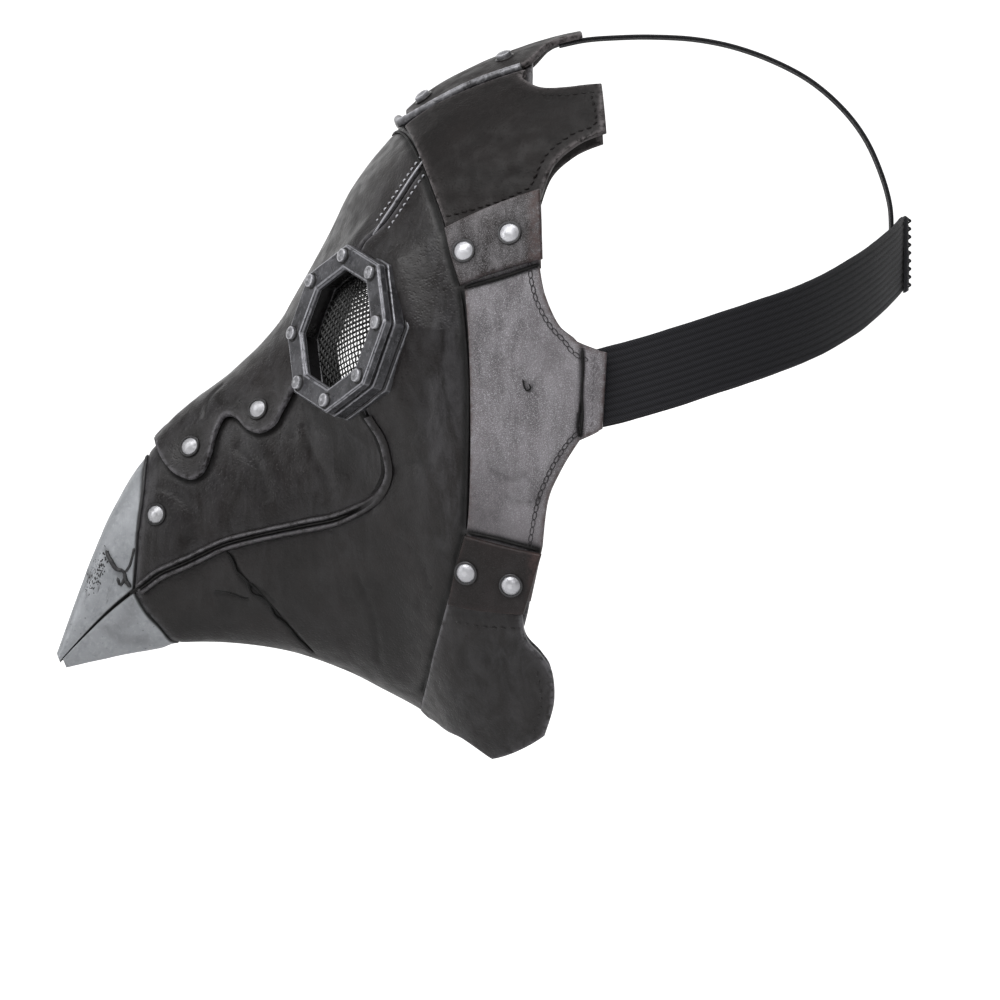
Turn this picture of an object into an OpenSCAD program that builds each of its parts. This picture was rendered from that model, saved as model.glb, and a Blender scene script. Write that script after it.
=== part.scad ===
// Beaked full-face costume mask: sewn and riveted leather panels over a long curved beak,
// a two-piece silver beak tip, octagonal metal eye frames with domed wire mesh, and an
// elastic harness of two side bands and one crown strap, joined at the back of the head.
// +Z is up, the beak points along -X, and the plane Y = 0 splits left from right.
// The wearer's left is at -Y. The origin is the middle of the face opening.

/* [Leather] */
// Thickness of the sewn base panels
base_t = 2.2; // [1.6:0.1:2.8]
// Thickness of the panels laid over the base
overlay_t = 2.2; // [1.6:0.1:2.6]
// Thickness of the riveted keepers
keeper_t = 2.2; // [1.6:0.1:2.6]
// Gap left round each eye frame in the leather
seam_gap = 0.3; // [0.2:0.05:0.5]
// Width of the folded welt along the mouth
welt_w = 5; // [3:0.5:7]
// Radius of the piping round the crown panel
piping_r = 1.7; // [1.3:0.1:2]

/* [Eye frames] */
// Octagon radius of the front bezel, corner to centre
bezel_r = 29.9; // [28:0.1:31]
// Octagon radius of the opening in the bezel
eye_open_r = 21; // [18:0.5:22]
// Thickness of the bezel
bezel_t = 2.4; // [2:0.1:3]
// Depth of the whole eye frame
eye_depth = 17; // [15:0.5:20]
// Turn of each eye away from straight ahead, in degrees
eye_turn = 34.75; // [30:0.25:40]
// Upward tilt of each eye, in degrees
eye_tilt = 11; // [5:0.5:15]
// Turn of the octagon about its own axis, in degrees
eye_roll = 19; // [10:1:28]

/* [Fasteners] */
// Head diameter of the large keeper rivets
rivet_d = 7; // [6:0.1:8]
// Head diameter of the rivets on the beak
beak_rivet_d = 6.4; // [5:0.1:7]
// Shank diameter of every rivet
shank_d = 3; // [2.4:0.1:3.4]
// Head diameter of the eye and crown bolts
bolt_d = 4; // [3.4:0.1:4.4]

/* [Harness] */
// Width of the elastic side bands
band_w = 26; // [20:0.5:30]
// Thickness of the elastic
band_t = 1.5; // [1:0.1:2]
// Width of the elastic crown strap
strap_w = 20; // [14:1:26]

/* [Hidden] */

// Layers, as heights above the outer face of the base leather.
layer_gap = 0.35;
overlay_lo = layer_gap;
overlay_hi = overlay_lo + overlay_t;
keeper_lo = overlay_hi + layer_gap;
keeper_hi = keeper_lo + keeper_t;

// The face is a fan of upright sections from the beak's tip to the back rim. Each row: top x
// and z, bottom x and z, half width, how far down the widest point is, and how square the
// lower half is (2 is an ellipse).
STATIONS = [
    [-171, -89, -169, -94, 2.6, 0.52, 2],
    [-159, -56, -149, -89.5, 6.5, 0.54, 2],
    [-149.5, -35, -135, -87, 10.5, 0.55, 2],
    [-139, -19, -128, -85, 15, 0.55, 2],
    [-124, -4, -110, -85, 20, 0.53, 2.1],
    [-107, 9, -89, -88, 27, 0.50, 2.15],
    [-92, 24.5, -70, -94.5, 34, 0.47, 2.2],
    [-84, 38.5, -56, -101.5, 40, 0.44, 2.3],
    [-77, 54.5, -44, -108, 46.5, 0.42, 2.4],
    [-68, 73.5, -37, -113.5, 56, 0.40, 2.4],
    [-56, 89.5, -30, -124, 64.5, 0.39, 2.35],
    [-40, 105.5, -22, -134, 71, 0.39, 2.25],
    [-16, 118, -12, -141, 76, 0.39, 2.2],
    [12, 126.5, 0, -145, 79, 0.39, 2.2],
    [33, 127.5, 12, -148, 80, 0.39, 2.2]];
last_station = len(STATIONS) - 1;

function clamp(x, lo, hi) = min(max(x, lo), hi);
function lerp(a, b, f) = a + (b - a) * f;
function unit(v) = v / norm(v);

// A smooth curve through listed points: span i, fraction f.
function spline(p, i, f) =
    let (a = p[max(i - 1, 0)], b = p[i], c = p[i + 1], d = p[min(i + 2, len(p) - 1)])
    0.5 * (2 * b + (c - a) * f + (2 * a - 5 * b + 4 * c - d) * f * f
        + (3 * b - a - 3 * c + d) * f * f * f);
function along(p, u) =
    let (n = len(p) - 1, s = clamp(u, 0, 1) * n, i = min(floor(s), n - 1)) spline(p, i, s - i);

// A border made of smooth runs that meet at sharp corners, with even spans throughout.
function spans(runs, k = 0) = k == len(runs) ? 0 : len(runs[k]) - 1 + spans(runs, k + 1);
function border(runs, u) = border_span(runs, 0, u * spans(runs));
function border_span(runs, k, s) =
    let (n = len(runs[k]) - 1)
    s <= n || k == len(runs) - 1 ? along(runs[k], clamp(s / n, 0, 1))
        : border_span(runs, k + 1, s - n);

// A point of the face: station t along the fan, angle a from the top ridge towards the left.
function section(t) = let (i = clamp(floor(t), 0, last_station - 1)) spline(STATIONS, i, t - i);
function skin(t, a) =
    let (s = section(t), c = cos(a),
        drop = c > 0 ? s[5] * (1 - c) : s[5] - (1 - s[5]) * c,
        width = c > 0 ? abs(sin(a)) : pow(1 - pow(-c, s[6]), 1 / s[6]))
    [lerp(s[0], s[2], drop), -s[4] * width * sign(sin(a)), lerp(s[1], s[3], drop)];
function outward(t, a) =
    let (dt = skin(t + 0.05, a) - skin(t - 0.05, a), da = skin(t, a + 0.5) - skin(t, a - 0.5))
    unit(cross(da, dt));
function raised(q, h) = skin(q[0], q[1]) + h * outward(q[0], q[1]);

// The fan position [t, a] of the left-side point that shows at [x, z] in the side view.
function fan_side(t, p) =
    let (s = section(t)) (s[2] - s[0]) * (p[1] - s[1]) - (s[3] - s[1]) * (p[0] - s[0]);
function find_t(p, lo, hi, n) =
    n == 0 ? (lo + hi) / 2
        : let (mid = (lo + hi) / 2)
            fan_side(mid, p) > 0 ? find_t(p, mid, hi, n - 1) : find_t(p, lo, mid, n - 1);
function on_side(p) =
    let (t = find_t(p, 0, last_station, 18), s = section(t),
        down = [s[2] - s[0], s[3] - s[1]],
        f = ((p - [s[0], s[1]]) * down) / (down * down),
        c = f < s[5] ? 1 - f / s[5] : -(f - s[5]) / (1 - s[5]))
    [t, acos(clamp(c, -1, 1))];
function sides(pts) = [for (p = pts) on_side(p)];

// A closed sheet between two grids of points that share their rim.
module sheet(outer, inner) {
    nu = len(outer) - 1;
    nv = len(outer[0]) - 1;
    w = nv + 1;
    base = (nu + 1) * w;
    flat_outer = [for (row = outer) for (p = row) p];
    flat_inner = [for (row = inner) for (p = row) p];
    grid_faces = [for (i = [0 : nu - 1]) for (j = [0 : nv - 1])
        let (a = i * w + j, b = a + w, c = b + 1, d = a + 1)
        each [[a, b, c], [a, c, d], [base + a, base + c, base + b], [base + a, base + d, base + c]]];
    rim = concat(
        [for (j = [0 : nv - 1]) j],
        [for (i = [0 : nu - 1]) i * w + nv],
        [for (j = [nv : -1 : 1]) nu * w + j],
        [for (i = [nu : -1 : 1]) i * w]);
    rim_faces = [for (k = [0 : len(rim) - 1])
        let (a = rim[k], b = rim[(k + 1) % len(rim)])
        each [[a, b, base + b], [a, base + b, base + a]]];
    polyhedron(concat(flat_outer, flat_inner), concat(grid_faces, rim_faces), convexity = 6);
}

// A panel bounded by four borders in fan positions: top and bottom run to the rear,
// front and rear run downwards.
function patch_at(top, bottom, front, rear, u, v) =
    lerp(border(top, u), border(bottom, u), v) + lerp(border(front, v), border(rear, v), u)
    - lerp(lerp(border(top, 0), border(top, 1), u), lerp(border(bottom, 0), border(bottom, 1), u), v);
module panel(top, bottom, front, rear, nu, nv, lo, hi) {
    q = [for (i = [0 : nu]) [for (j = [0 : nv]) patch_at(top, bottom, front, rear, i / nu, j / nv)]];
    sheet([for (row = q) [for (p = row) raised(p, hi)]], [for (row = q) [for (p = row) raised(p, lo)]]);
}

// A panel across the ridge: its left border is mirrored to the right side. Its height above
// the skin goes from "low" at the front to "low + step" at the rear, between two fan stations.
module saddle(edge, nu, nv, low, thick, step = 0, from = 0, to = 1) {
    q = [for (i = [0 : nu]) [for (j = [-nv : nv])
        let (e = border(edge, i / nu)) [e[0], e[1] * j / nv]]];
    function height(p) = low + step * (1 - cos(180 * clamp((p[0] - from) / (to - from), 0, 1))) / 2;
    sheet([for (row = q) [for (p = row) raised(p, height(p) + thick)]],
        [for (row = q) [for (p = row) raised(p, height(p))]]);
}

// A closed tube through listed rings of points.
module tube(rings) {
    n = len(rings);
    m = len(rings[0]);
    pts = concat([for (r = rings) for (p = r) p],
        [[for (k = [0 : 2]) mean(rings[0], k)], [for (k = [0 : 2]) mean(rings[n - 1], k)]]);
    walls = [for (i = [0 : n - 2]) for (j = [0 : m - 1])
        let (a = i * m + j, b = i * m + (j + 1) % m)
        each [[a, a + m, b + m], [a, b + m, b]]];
    ends = [for (j = [0 : m - 1]) let (k = (j + 1) % m)
        each [[n * m, j, k], [n * m + 1, (n - 1) * m + k, (n - 1) * m + j]]];
    polyhedron(pts, concat(walls, ends), convexity = 6);
}
function mean(ring, k) = let (m = len(ring)) [for (p = ring) 1 / m] * [for (p = ring) p[k]];

module both(side) {
    if (side < 0) children();
    else mirror([0, 1, 0]) children();
}

// ---- Eye frames -------------------------------------------------------------------------
eye_centre = [-72.8, -48, 24.4];
neck_r = bezel_r - 1.3;
neck_t = 1.4;
housing_r = bezel_r + 1.7;
housing_bore_r = 24;
ledge_depth = 9.2;
ledge_r = 20;
mesh_r = 21.9;
mesh_rise = 4;
mesh_t = 0.8;
bolt_ring_r = 25.6;
bolt_shank_d = 2;
bore_clearance = 0.2;

// Children drawn about +Z, with the bezel's face at zero, are set in the left eye.
module in_eye() {
    forward = [-cos(eye_turn) * cos(eye_tilt), -sin(eye_turn) * cos(eye_tilt), sin(eye_tilt)];
    up = [cos(eye_turn) * sin(eye_tilt), sin(eye_turn) * sin(eye_tilt), cos(eye_tilt)];
    aside = cross(up, forward);
    multmatrix([
        [aside[0], up[0], forward[0], eye_centre[0]],
        [aside[1], up[1], forward[1], eye_centre[1]],
        [aside[2], up[2], forward[2], eye_centre[2]]]) rotate([0, 0, -eye_roll]) children();
}
module octagon(r) {
    polygon([for (k = [0 : 7]) r * [cos(22.5 + 45 * k), sin(22.5 + 45 * k)]]);
}
module octagon_prism(r, lo, hi) {
    translate([0, 0, lo]) linear_extrude(hi - lo) octagon(r);
}
module eye_cut() {
    in_eye() octagon_prism(housing_r + seam_gap, -eye_depth - 12, 12);
}
module bolt_ring() {
    for (k = [0 : 7]) rotate([0, 0, 22.5 + 45 * k]) translate([bolt_ring_r, 0, 0]) children();
}

module eye_housing(side) {
    color("dimgray") both(side) in_eye() difference() {
        union() {
            octagon_prism(neck_r, -bezel_t - neck_t, -bezel_t);
            octagon_prism(housing_r, -eye_depth, -bezel_t - neck_t);
        }
        octagon_prism(housing_bore_r, -ledge_depth, 1);
        octagon_prism(ledge_r, -eye_depth - 1, 1);
        octagon_prism(housing_bore_r, -eye_depth - 1, -ledge_depth - 1.8);
        bolt_ring() translate([0, 0, -8]) cylinder(h = 10, d = bolt_shank_d + bore_clearance, $fn = 24);
    }
}
module eye_bezel(side) {
    color("silver") both(side) in_eye() difference() {
        octagon_prism(bezel_r, -bezel_t, 0);
        octagon_prism(eye_open_r, -bezel_t - 1, 1);
        bolt_ring() translate([0, 0, -5]) cylinder(h = 10, d = bolt_shank_d + bore_clearance, $fn = 24);
    }
}
module eye_mesh(side) {
    dome_r = (mesh_r * mesh_r + mesh_rise * mesh_rise) / (2 * mesh_rise);
    rim_angle = asin(mesh_r / dome_r);
    steps = 8;
    color([0.15, 0.15, 0.15]) both(side) in_eye() translate([0, 0, -ledge_depth + 0.1])
        rotate_extrude($fn = 48) polygon(concat(
            [for (k = [0 : steps]) let (b = rim_angle * k / steps)
                [dome_r * sin(b), dome_r * cos(b) - dome_r + mesh_rise]],
            [for (k = [steps : -1 : 0]) let (b = rim_angle * k / steps)
                [dome_r * sin(b), dome_r * cos(b) - dome_r + mesh_rise + mesh_t]]));
}
module domed_head(d, h) {
    r = (d * d / 4 + h * h) / (2 * h);
    intersection() {
        translate([0, 0, h - r]) sphere(r = r, $fn = 32);
        cylinder(h = h + 1, d = d, $fn = 32);
    }
}
module eye_bolts(side) {
    color("gray") both(side) in_eye() bolt_ring() {
        translate([0, 0, 0.05]) domed_head(bolt_d, 1.2);
        translate([0, 0, -7.5]) cylinder(h = 8, d = bolt_shank_d, $fn = 24);
    }
}

// ---- Base leather -----------------------------------------------------------------------
// Side-view points of the seams, left side, and the fan limits of the face opening.
mouth_line = [[-143.5, -67], [-128, -58], [-110, -50], [-86, -44.5], [-72, -41.5], [-60, -35.5],
    [-54.5, -27.5], [-55, -19], [-58, -9], [-60, -3]];
brow_seam = [[-61, 52.5], [-51, 68], [-40, 84], [-33, 93]];
nose_edge = [[-135.2, -13.5], [-134, -19], [-130, -25], [-124, -28], [-119, -26], [-116, -19.5],
    [-114, -12], [-111, -6.5], [-107, -7], [-103.5, -10.5], [-99, -12], [-93.5, -9], [-90, -3], [-84, 8]];
eye_middle = [-73, 24];
top_open = 12.4;
chin_open = 8.7;
seam_step = 0.7;
ridge_gap = 0.6;
chin_gap = 179.6;

// A border moved across its seam by a small step in the fan angle.
function beside(pts, step) = [for (p = pts) [p[0], p[1] + step]];

// The centre panel laps over the cheeks along its wavy nose edge and is sewn edge to edge
// with the jaw panels at the brow.
module forehead_nose_panel() {
    edge = concat(sides(nose_edge), sides([eye_middle]), sides(brow_seam), [[top_open, 45]]);
    color([0.24, 0.23, 0.24]) difference() {
        saddle([edge], 57, 6, overlay_lo, base_t, -overlay_lo - base_t, 6.5, 8.6);
        eye_cut();
        mirror([0, 1, 0]) eye_cut();
        beak_bores();
        mirror([0, 1, 0]) beak_bores();
        crown_bores();
    }
}

tip_corner = on_side([-143.5, -66.5]);
upper_join = concat([[3.03, ridge_gap]], sides([[-140, -30], [-142, -46]]), [tip_corner - [0, seam_step]]);
lower_join = concat([tip_corner + [0, seam_step]], sides([[-138.5, -75], [-133, -81.5]]), [[3.03, chin_gap]]);
module beak_cheek(side) {
    bottom = concat([upper_join[3]], beside(sides([for (k = [1 : 6]) mouth_line[k]]), -seam_step));
    top = [upper_join[0], [5, ridge_gap], [6.7, ridge_gap]];
    rear = concat([top[2]], sides([[-80, 20], [-73, 22], [-67, 9], [-62.5, -2], [-60, -12], [-57.5, -21]]),
        [bottom[6]]);
    color([0.23, 0.22, 0.22]) both(side) difference() {
        panel([top], [bottom], [upper_join], [rear], 20, 14, -base_t, 0);
        eye_cut();
        beak_bores();
    }
}

// The jaw panel runs from the brow seam round the eye and forward below the mouth.
module jaw_panel(side) {
    inner = concat([[top_open, 45 + seam_step]],
        beside(sides([for (k = [3 : -1 : 0]) brow_seam[k]]), seam_step), sides([[-69, 25]]),
        sides([for (k = [9 : -1 : 6]) mouth_line[k]]),
        beside(sides([for (k = [5 : -1 : 1]) mouth_line[k]]), seam_step), [lower_join[0]]);
    rim = concat([[top_open, 52]],
        sides([[-3, 84], [-5, 60], [-8, 35], [-9, 5], [-9, -25], [-6, -50], [-6, -72], [-13, -90]]),
        [[10.8, 141], [9.6, 155], [chin_open, chin_gap]]);
    chin_seam = [[chin_open, chin_gap], [7, chin_gap], [5, chin_gap], lower_join[3]];
    color([0.22, 0.21, 0.21]) both(side) difference() {
        panel([inner], [rim, chin_seam], [[inner[0], rim[0]]], [lower_join], 36, 12, -base_t, 0);
        eye_cut();
        keeper_bores();
    }
}

// ---- Beak tip ---------------------------------------------------------------------------
// Solid caps: their back ends follow the front borders of the leather.
tip_steps = 12;
join_gap = 0.06;
upper_share = 0.985;
lower_share = 0.98;
module beak_tip_upper() {
    m = 10;
    color([0.68, 0.69, 0.70]) tube([for (i = [0 : tip_steps]) [for (j = [-m : m])
        let (e = along(upper_join, abs(j) / m),
            a = (e[1] - ridge_gap) * upper_share * sign(j))
        skin(lerp(0.02, e[0] - join_gap, i / tip_steps), a)]]);
}
module beak_tip_lower() {
    m = 7;
    color([0.55, 0.56, 0.58]) tube([for (i = [0 : tip_steps]) [for (j = [-m : m])
        let (e = along(lower_join, 1 - abs(j) / m),
            a = 180 - (180 - e[1]) * lower_share * sign(j))
        skin(lerp(0.12, e[0] - join_gap, i / tip_steps), a)]]);
}

// ---- Laid-on leather --------------------------------------------------------------------
// The welt's section is two ridges with a groove between: share of the half width, height.
WELT_SECTION = [[-1, 0.2], [-0.75, 1.5], [-0.35, 1.7], [0, 0.6], [0.35, 1.7], [0.75, 1.5], [1, 0.2]];
welt_ends = sides([[-141.5, -66], [-59, -6.2]]);
module mouth_welt(side) {
    route = concat([welt_ends[0]], sides([for (k = [1 : 8]) mouth_line[k]]), [welt_ends[1]]);
    n = 40;
    rings = [for (i = [0 : n])
        let (p = along(route, i / n), step = along(route, i / n + 0.01) - along(route, i / n - 0.01),
            up = outward(p[0], p[1]),
            aside = unit(cross(up, raised(p + step, 0) - raised(p - step, 0))))
        [for (e = WELT_SECTION) raised(p, e[1]) + aside * e[0] * welt_w / 2]];
    color([0.27, 0.26, 0.26]) both(side) tube(rings);
}
module temple_panel(side) {
    beside_piping = [for (t = [11.5, 12.35]) [t, piping_line(t) + piping_room]];
    top = [concat([[10.55, 19.5]], beside_piping),
        concat([beside_piping[1]], sides([[-7.5, 110], [-1.5, 106.5], [8, 106.5], [19.5, 107.6]]))];
    rear = [sides([[19.5, 107.6], [21, 91]]), sides([[21, 91], [11, 86.7], [3, 79.5], [-1.5, 68]])];
    front = [concat([[10.55, 19.5]], sides([[-41, 79], [-33, 56.3]]))];
    bottom = [sides([[-33, 56.3], [-17, 62.2], [-1.5, 68]])];
    color([0.20, 0.18, 0.18]) both(side) panel(top, bottom, front, rear, 18, 12, overlay_lo, overlay_hi);
}
module side_panel(side) {
    rear = [sides([[-2, 66], [-2, 45]]), sides([[-2, 45], [0, 35], [5, 24.5], [12, 18]]),
        sides([[12, 18], [21, 15.5]]), sides([[21, 15.5], [19.5, -10.5]]), sides([[19.5, -10.5], [12, -14]]),
        sides([[12, -14], [5.5, -24.5], [1, -35], [-1, -51]]), sides([[-1, -51], [-5, -69.5]])];
    front = [sides([[-31, 54.5], [-27.5, 38.5], [-25.5, 0], [-26.5, -45.5], [-31.4, -66.5]])];
    top = [sides([[-31, 54.5], [-2, 66]])];
    bottom = [sides([[-31.4, -66.5], [-5, -69.5]])];
    color([0.47, 0.46, 0.47]) both(side) difference() {
        panel(top, bottom, front, rear, 8, 33, overlay_lo, overlay_hi);
        keeper_bores();
    }
}
module upper_keeper(side) {
    color([0.40, 0.38, 0.39]) both(side) difference() {
        panel([sides([[-33.3, 57.2], [-1.2, 70.4]])], [sides([[-28.2, 38.2], [-0.6, 47]])],
            [sides([[-33.3, 57.2], [-31.2, 48], [-28.2, 38.2]])], [sides([[-1.2, 70.4], [-0.6, 47]])],
            8, 6, keeper_lo, keeper_hi);
        keeper_bores();
    }
}
module lower_keeper(side) {
    color([0.21, 0.20, 0.20]) both(side) difference() {
        panel([sides([[-26.5, -46.5], [-1, -53]])], [sides([[-31.8, -69.8], [-7, -73.3]])],
            [sides([[-26.5, -46.5], [-29.5, -58], [-31.8, -69.8]])], [sides([[-1, -53], [-7, -73.3]])],
            8, 6, keeper_lo, keeper_hi);
        keeper_bores();
    }
}
module jaw_flap(side) {
    front = [sides([[-32.6, -68.4], [-37, -87], [-41.5, -103.5]])];
    bottom = [sides([[-41.5, -103.5], [-42, -106.5], [-39, -109.5]]),
        sides([[-39, -109.5], [-28, -116.2], [-17.5, -123.5]]),
        sides([[-17.5, -123.5], [-6, -119.2], [0, -115.5]])];
    rear = [sides([[-8, -71.6], [-6.5, -82], [-1, -88.5], [2.5, -94.5], [3, -105], [0, -115.5]])];
    top = [sides([[-32.6, -68.4], [-8, -71.6]])];
    color([0.22, 0.21, 0.21]) both(side) panel(top, bottom, front, rear, 10, 12, overlay_lo, overlay_hi);
}

// ---- Crown ------------------------------------------------------------------------------
// The piping runs at this fan angle beside the crown panel, with room for the bead.
function piping_line(t) = 20.5 - 6 * pow(clamp(11.4 - t, 0, 1), 2) + 2 * clamp(t - 11.5, 0, 1);
piping_room = 1.75;
piping_front = 10.45;
module crown_panel() {
    beside_piping = [for (t = [10.85, 11.3, 11.8, 12.35]) [t, piping_line(t) - piping_room]];
    edge = concat([[10.6, 9.5]], beside_piping, [[12.62, 11], [12.75, 9], [13.05, 8.6]]);
    color([0.30, 0.29, 0.30]) difference() {
        saddle([edge], 21, 6, overlay_lo, overlay_t);
        crown_bores();
    }
}
module crown_piping() {
    left = concat([for (t = [12.3 : -0.36 : 10.8]) [t, piping_line(t)]], [[10.54, 14], [piping_front, 8.5]]);
    right = [for (k = [len(left) - 1 : -1 : 0]) [left[k][0], -left[k][1]]];
    route = concat(left, right);
    n = 48;
    m = 8;
    h = piping_r + layer_gap;
    rings = [for (i = [0 : n]) let (u = i / n, p = along(route, u), c = raised(p, h),
        ahead = raised(along(route, u + 0.01), h) - raised(along(route, u - 0.01), h),
        up = outward(p[0], p[1]), aside = unit(cross(ahead, up)))
        [for (j = [0 : m - 1]) c + piping_r * (cos(360 * j / m) * aside + sin(360 * j / m) * up)]];
    color([0.55, 0.55, 0.57]) tube(rings);
}

// ---- Rivets -----------------------------------------------------------------------------
keeper_rivets_at = sides([[-26.8, 49.4], [-11.5, 55.4], [-25.9, -59.1], [-11.1, -63.3]]);
beak_rivets_at = sides([[-123, -17], [-99, -4], [-136, -40]]);
crown_bolts_at = [[10.95, 10], [12.1, 11.5]];
module on_skin(q, h) {
    n = outward(q[0], q[1]);
    translate(raised(q, h)) rotate([0, acos(n[2]), atan2(n[1], n[0])]) children();
}
module bores(places, d) {
    for (q = places) on_skin(q, -8) cylinder(h = 16, d = d + bore_clearance, $fn = 24);
}
module keeper_bores() {
    bores(keeper_rivets_at, shank_d);
}
module beak_bores() {
    bores(beak_rivets_at, shank_d);
}
module crown_bores() {
    bores([for (q = crown_bolts_at) for (s = [-1, 1]) [q[0], s * q[1]]], bolt_shank_d);
}
module rivet(q, seat, head_d, stem_d) {
    washer_t = 0.6;
    foot = -base_t - washer_t - 0.3;
    on_skin(q, seat + 0.1) domed_head(head_d, head_d * 0.22);
    on_skin(q, foot) cylinder(h = seat - foot + 0.5, d = stem_d, $fn = 24);
    on_skin(q, foot) cylinder(h = washer_t, d = head_d * 0.8, $fn = 24);
}
module keeper_rivets(side) {
    color("gainsboro") both(side) for (q = keeper_rivets_at) rivet(q, keeper_hi, rivet_d, shank_d);
}
module beak_rivets(side) {
    color("silver") both(side) for (k = [0 : 2])
        rivet(beak_rivets_at[k], k < 2 ? overlay_hi : 0, beak_rivet_d, shank_d);
}
module crown_bolts() {
    color("gray") for (q = crown_bolts_at) for (s = [-1, 1])
        rivet([q[0], s * q[1]], overlay_hi, bolt_d + 1.4, bolt_shank_d);
}

// ---- Harness ----------------------------------------------------------------------------
// Middle line of the left band, from under the side panel's tab to the back of the head.
band_route = [[3, -76.7, 1], [12, -77.5, 2.5], [22, -78.1, 4.5], [40, -78.7, 9.5], [57, -77, 15],
    [75, -71, 21], [91, -60, 27], [104, -46, 34], [114, -31, 41], [121.5, -15, 47.5], [124.4, -6, 50.6],
    [124.8, -2.4, 51]];
head_middle = [38, 0, 30];
// A flat strap along a route. It faces away from the middle of the head, measured only along
// the axes whose share in "lean" is 1.
module ribbon(route, width, thick, n, lean) {
    rings = [for (i = [0 : n])
        let (u = i / n, c = along(route, u), ahead = unit(along(route, u + 0.01) - along(route, u - 0.01)),
            away = [for (k = [0 : 2]) (c[k] - head_middle[k]) * lean[k]],
            flat_way = unit(cross(ahead, away)), face = unit(cross(flat_way, ahead)))
        [for (e = [[-1, -1], [-1, 1], [1, 1], [1, -1]])
            c + flat_way * e[0] * width / 2 + face * e[1] * thick / 2]];
    tube(rings);
}
module head_band(side) {
    color([0.13, 0.13, 0.15]) both(side) ribbon(band_route, band_w, band_t, 44, [1, 1, 0]);
}
strap_route = [[5, 0, 124], [14, 0, 125.9], [24, 0, 126.7], [37, 0, 127], [52, 0, 126.2], [66, 0, 123.5],
    [80, 0, 118.5], [93, 0, 111.5], [104, 0, 102], [112, 0, 91.5], [117.5, 0, 79.5], [120.7, 0, 68],
    [121.2, 0, 58]];
strap_t = band_t * 0.8;
module top_strap() {
    color([0.13, 0.13, 0.15]) ribbon(strap_route, strap_w, strap_t, 44, [1, 0, 1]);
}
// The patch sewn over the meeting ends of the bands.
seam_patch = [1.5, 14, band_w + 1];
module back_seam() {
    color([0.10, 0.10, 0.12]) translate([126.2, -seam_patch[1] / 2, 51 - seam_patch[2] / 2]) cube(seam_patch);
}

forehead_nose_panel();
beak_cheek(-1);  // beak_cheek_left
beak_cheek(1);  // beak_cheek_right
jaw_panel(-1);  // jaw_panel_left
jaw_panel(1);  // jaw_panel_right
mouth_welt(-1);  // mouth_welt_left
mouth_welt(1);  // mouth_welt_right
beak_tip_upper();
beak_tip_lower();
eye_housing(-1);  // eye_housing_left
eye_housing(1);  // eye_housing_right
eye_bezel(-1);  // eye_bezel_left
eye_bezel(1);  // eye_bezel_right
eye_mesh(-1);  // eye_mesh_left
eye_mesh(1);  // eye_mesh_right
eye_bolts(-1);  // eye_bolts_left
eye_bolts(1);  // eye_bolts_right
crown_panel();
crown_piping();
crown_bolts();
temple_panel(-1);  // temple_panel_left
temple_panel(1);  // temple_panel_right
upper_keeper(-1);  // upper_keeper_left
upper_keeper(1);  // upper_keeper_right
side_panel(-1);  // side_panel_left
side_panel(1);  // side_panel_right
lower_keeper(-1);  // lower_keeper_left
lower_keeper(1);  // lower_keeper_right
jaw_flap(-1);  // jaw_flap_left
jaw_flap(1);  // jaw_flap_right
keeper_rivets(-1);  // keeper_rivets_left
keeper_rivets(1);  // keeper_rivets_right
beak_rivets(-1);  // beak_rivets_left
beak_rivets(1);  // beak_rivets_right
head_band(-1);  // head_band_left
head_band(1);  // head_band_right
top_strap();
back_seam();
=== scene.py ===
import math

import bpy
import numpy as np
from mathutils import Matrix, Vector, kdtree


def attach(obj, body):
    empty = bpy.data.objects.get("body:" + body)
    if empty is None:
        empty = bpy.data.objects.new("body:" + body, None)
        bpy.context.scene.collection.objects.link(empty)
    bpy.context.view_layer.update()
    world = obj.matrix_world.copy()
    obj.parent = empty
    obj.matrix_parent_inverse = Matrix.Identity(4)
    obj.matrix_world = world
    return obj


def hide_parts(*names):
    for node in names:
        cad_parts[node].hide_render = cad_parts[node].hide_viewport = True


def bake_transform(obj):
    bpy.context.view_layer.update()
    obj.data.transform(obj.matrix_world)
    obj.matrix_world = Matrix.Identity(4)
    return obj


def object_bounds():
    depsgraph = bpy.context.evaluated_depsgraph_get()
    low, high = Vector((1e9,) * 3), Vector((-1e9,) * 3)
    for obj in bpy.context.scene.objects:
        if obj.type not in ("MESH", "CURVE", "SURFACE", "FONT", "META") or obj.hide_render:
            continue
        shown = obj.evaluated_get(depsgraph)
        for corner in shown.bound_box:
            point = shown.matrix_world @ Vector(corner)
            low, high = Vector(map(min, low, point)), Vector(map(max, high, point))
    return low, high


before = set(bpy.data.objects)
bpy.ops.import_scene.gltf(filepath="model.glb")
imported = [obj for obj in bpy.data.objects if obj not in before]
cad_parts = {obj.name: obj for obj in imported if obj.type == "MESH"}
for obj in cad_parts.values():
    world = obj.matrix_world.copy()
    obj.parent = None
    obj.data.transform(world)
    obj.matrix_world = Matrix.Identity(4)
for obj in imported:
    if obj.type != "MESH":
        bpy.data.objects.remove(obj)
CAD_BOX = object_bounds()
MM = 0.001
SIDES = (("left", 1.0), ("right", -1.0))


# ---- Camera, lights and floor -------------------------------------------------------------
# Lengths here are in metres. The camera looks along +Y at the wearer's left side.
AIM = (-0.01575, 0.0, -0.035)
CAMERA_DISTANCE = 4.0
VIEW_WIDTH = 0.350


def make_camera():
    data = bpy.data.cameras.new("camera")
    data.sensor_width = 36
    data.lens = data.sensor_width * CAMERA_DISTANCE / VIEW_WIDTH
    data.clip_end = 50
    camera = bpy.data.objects.new("camera", data)
    camera.location = (AIM[0], -CAMERA_DISTANCE, AIM[2])
    camera.rotation_euler = (math.radians(90), 0, 0)
    bpy.context.scene.collection.objects.link(camera)
    bpy.context.scene.camera = camera


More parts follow.
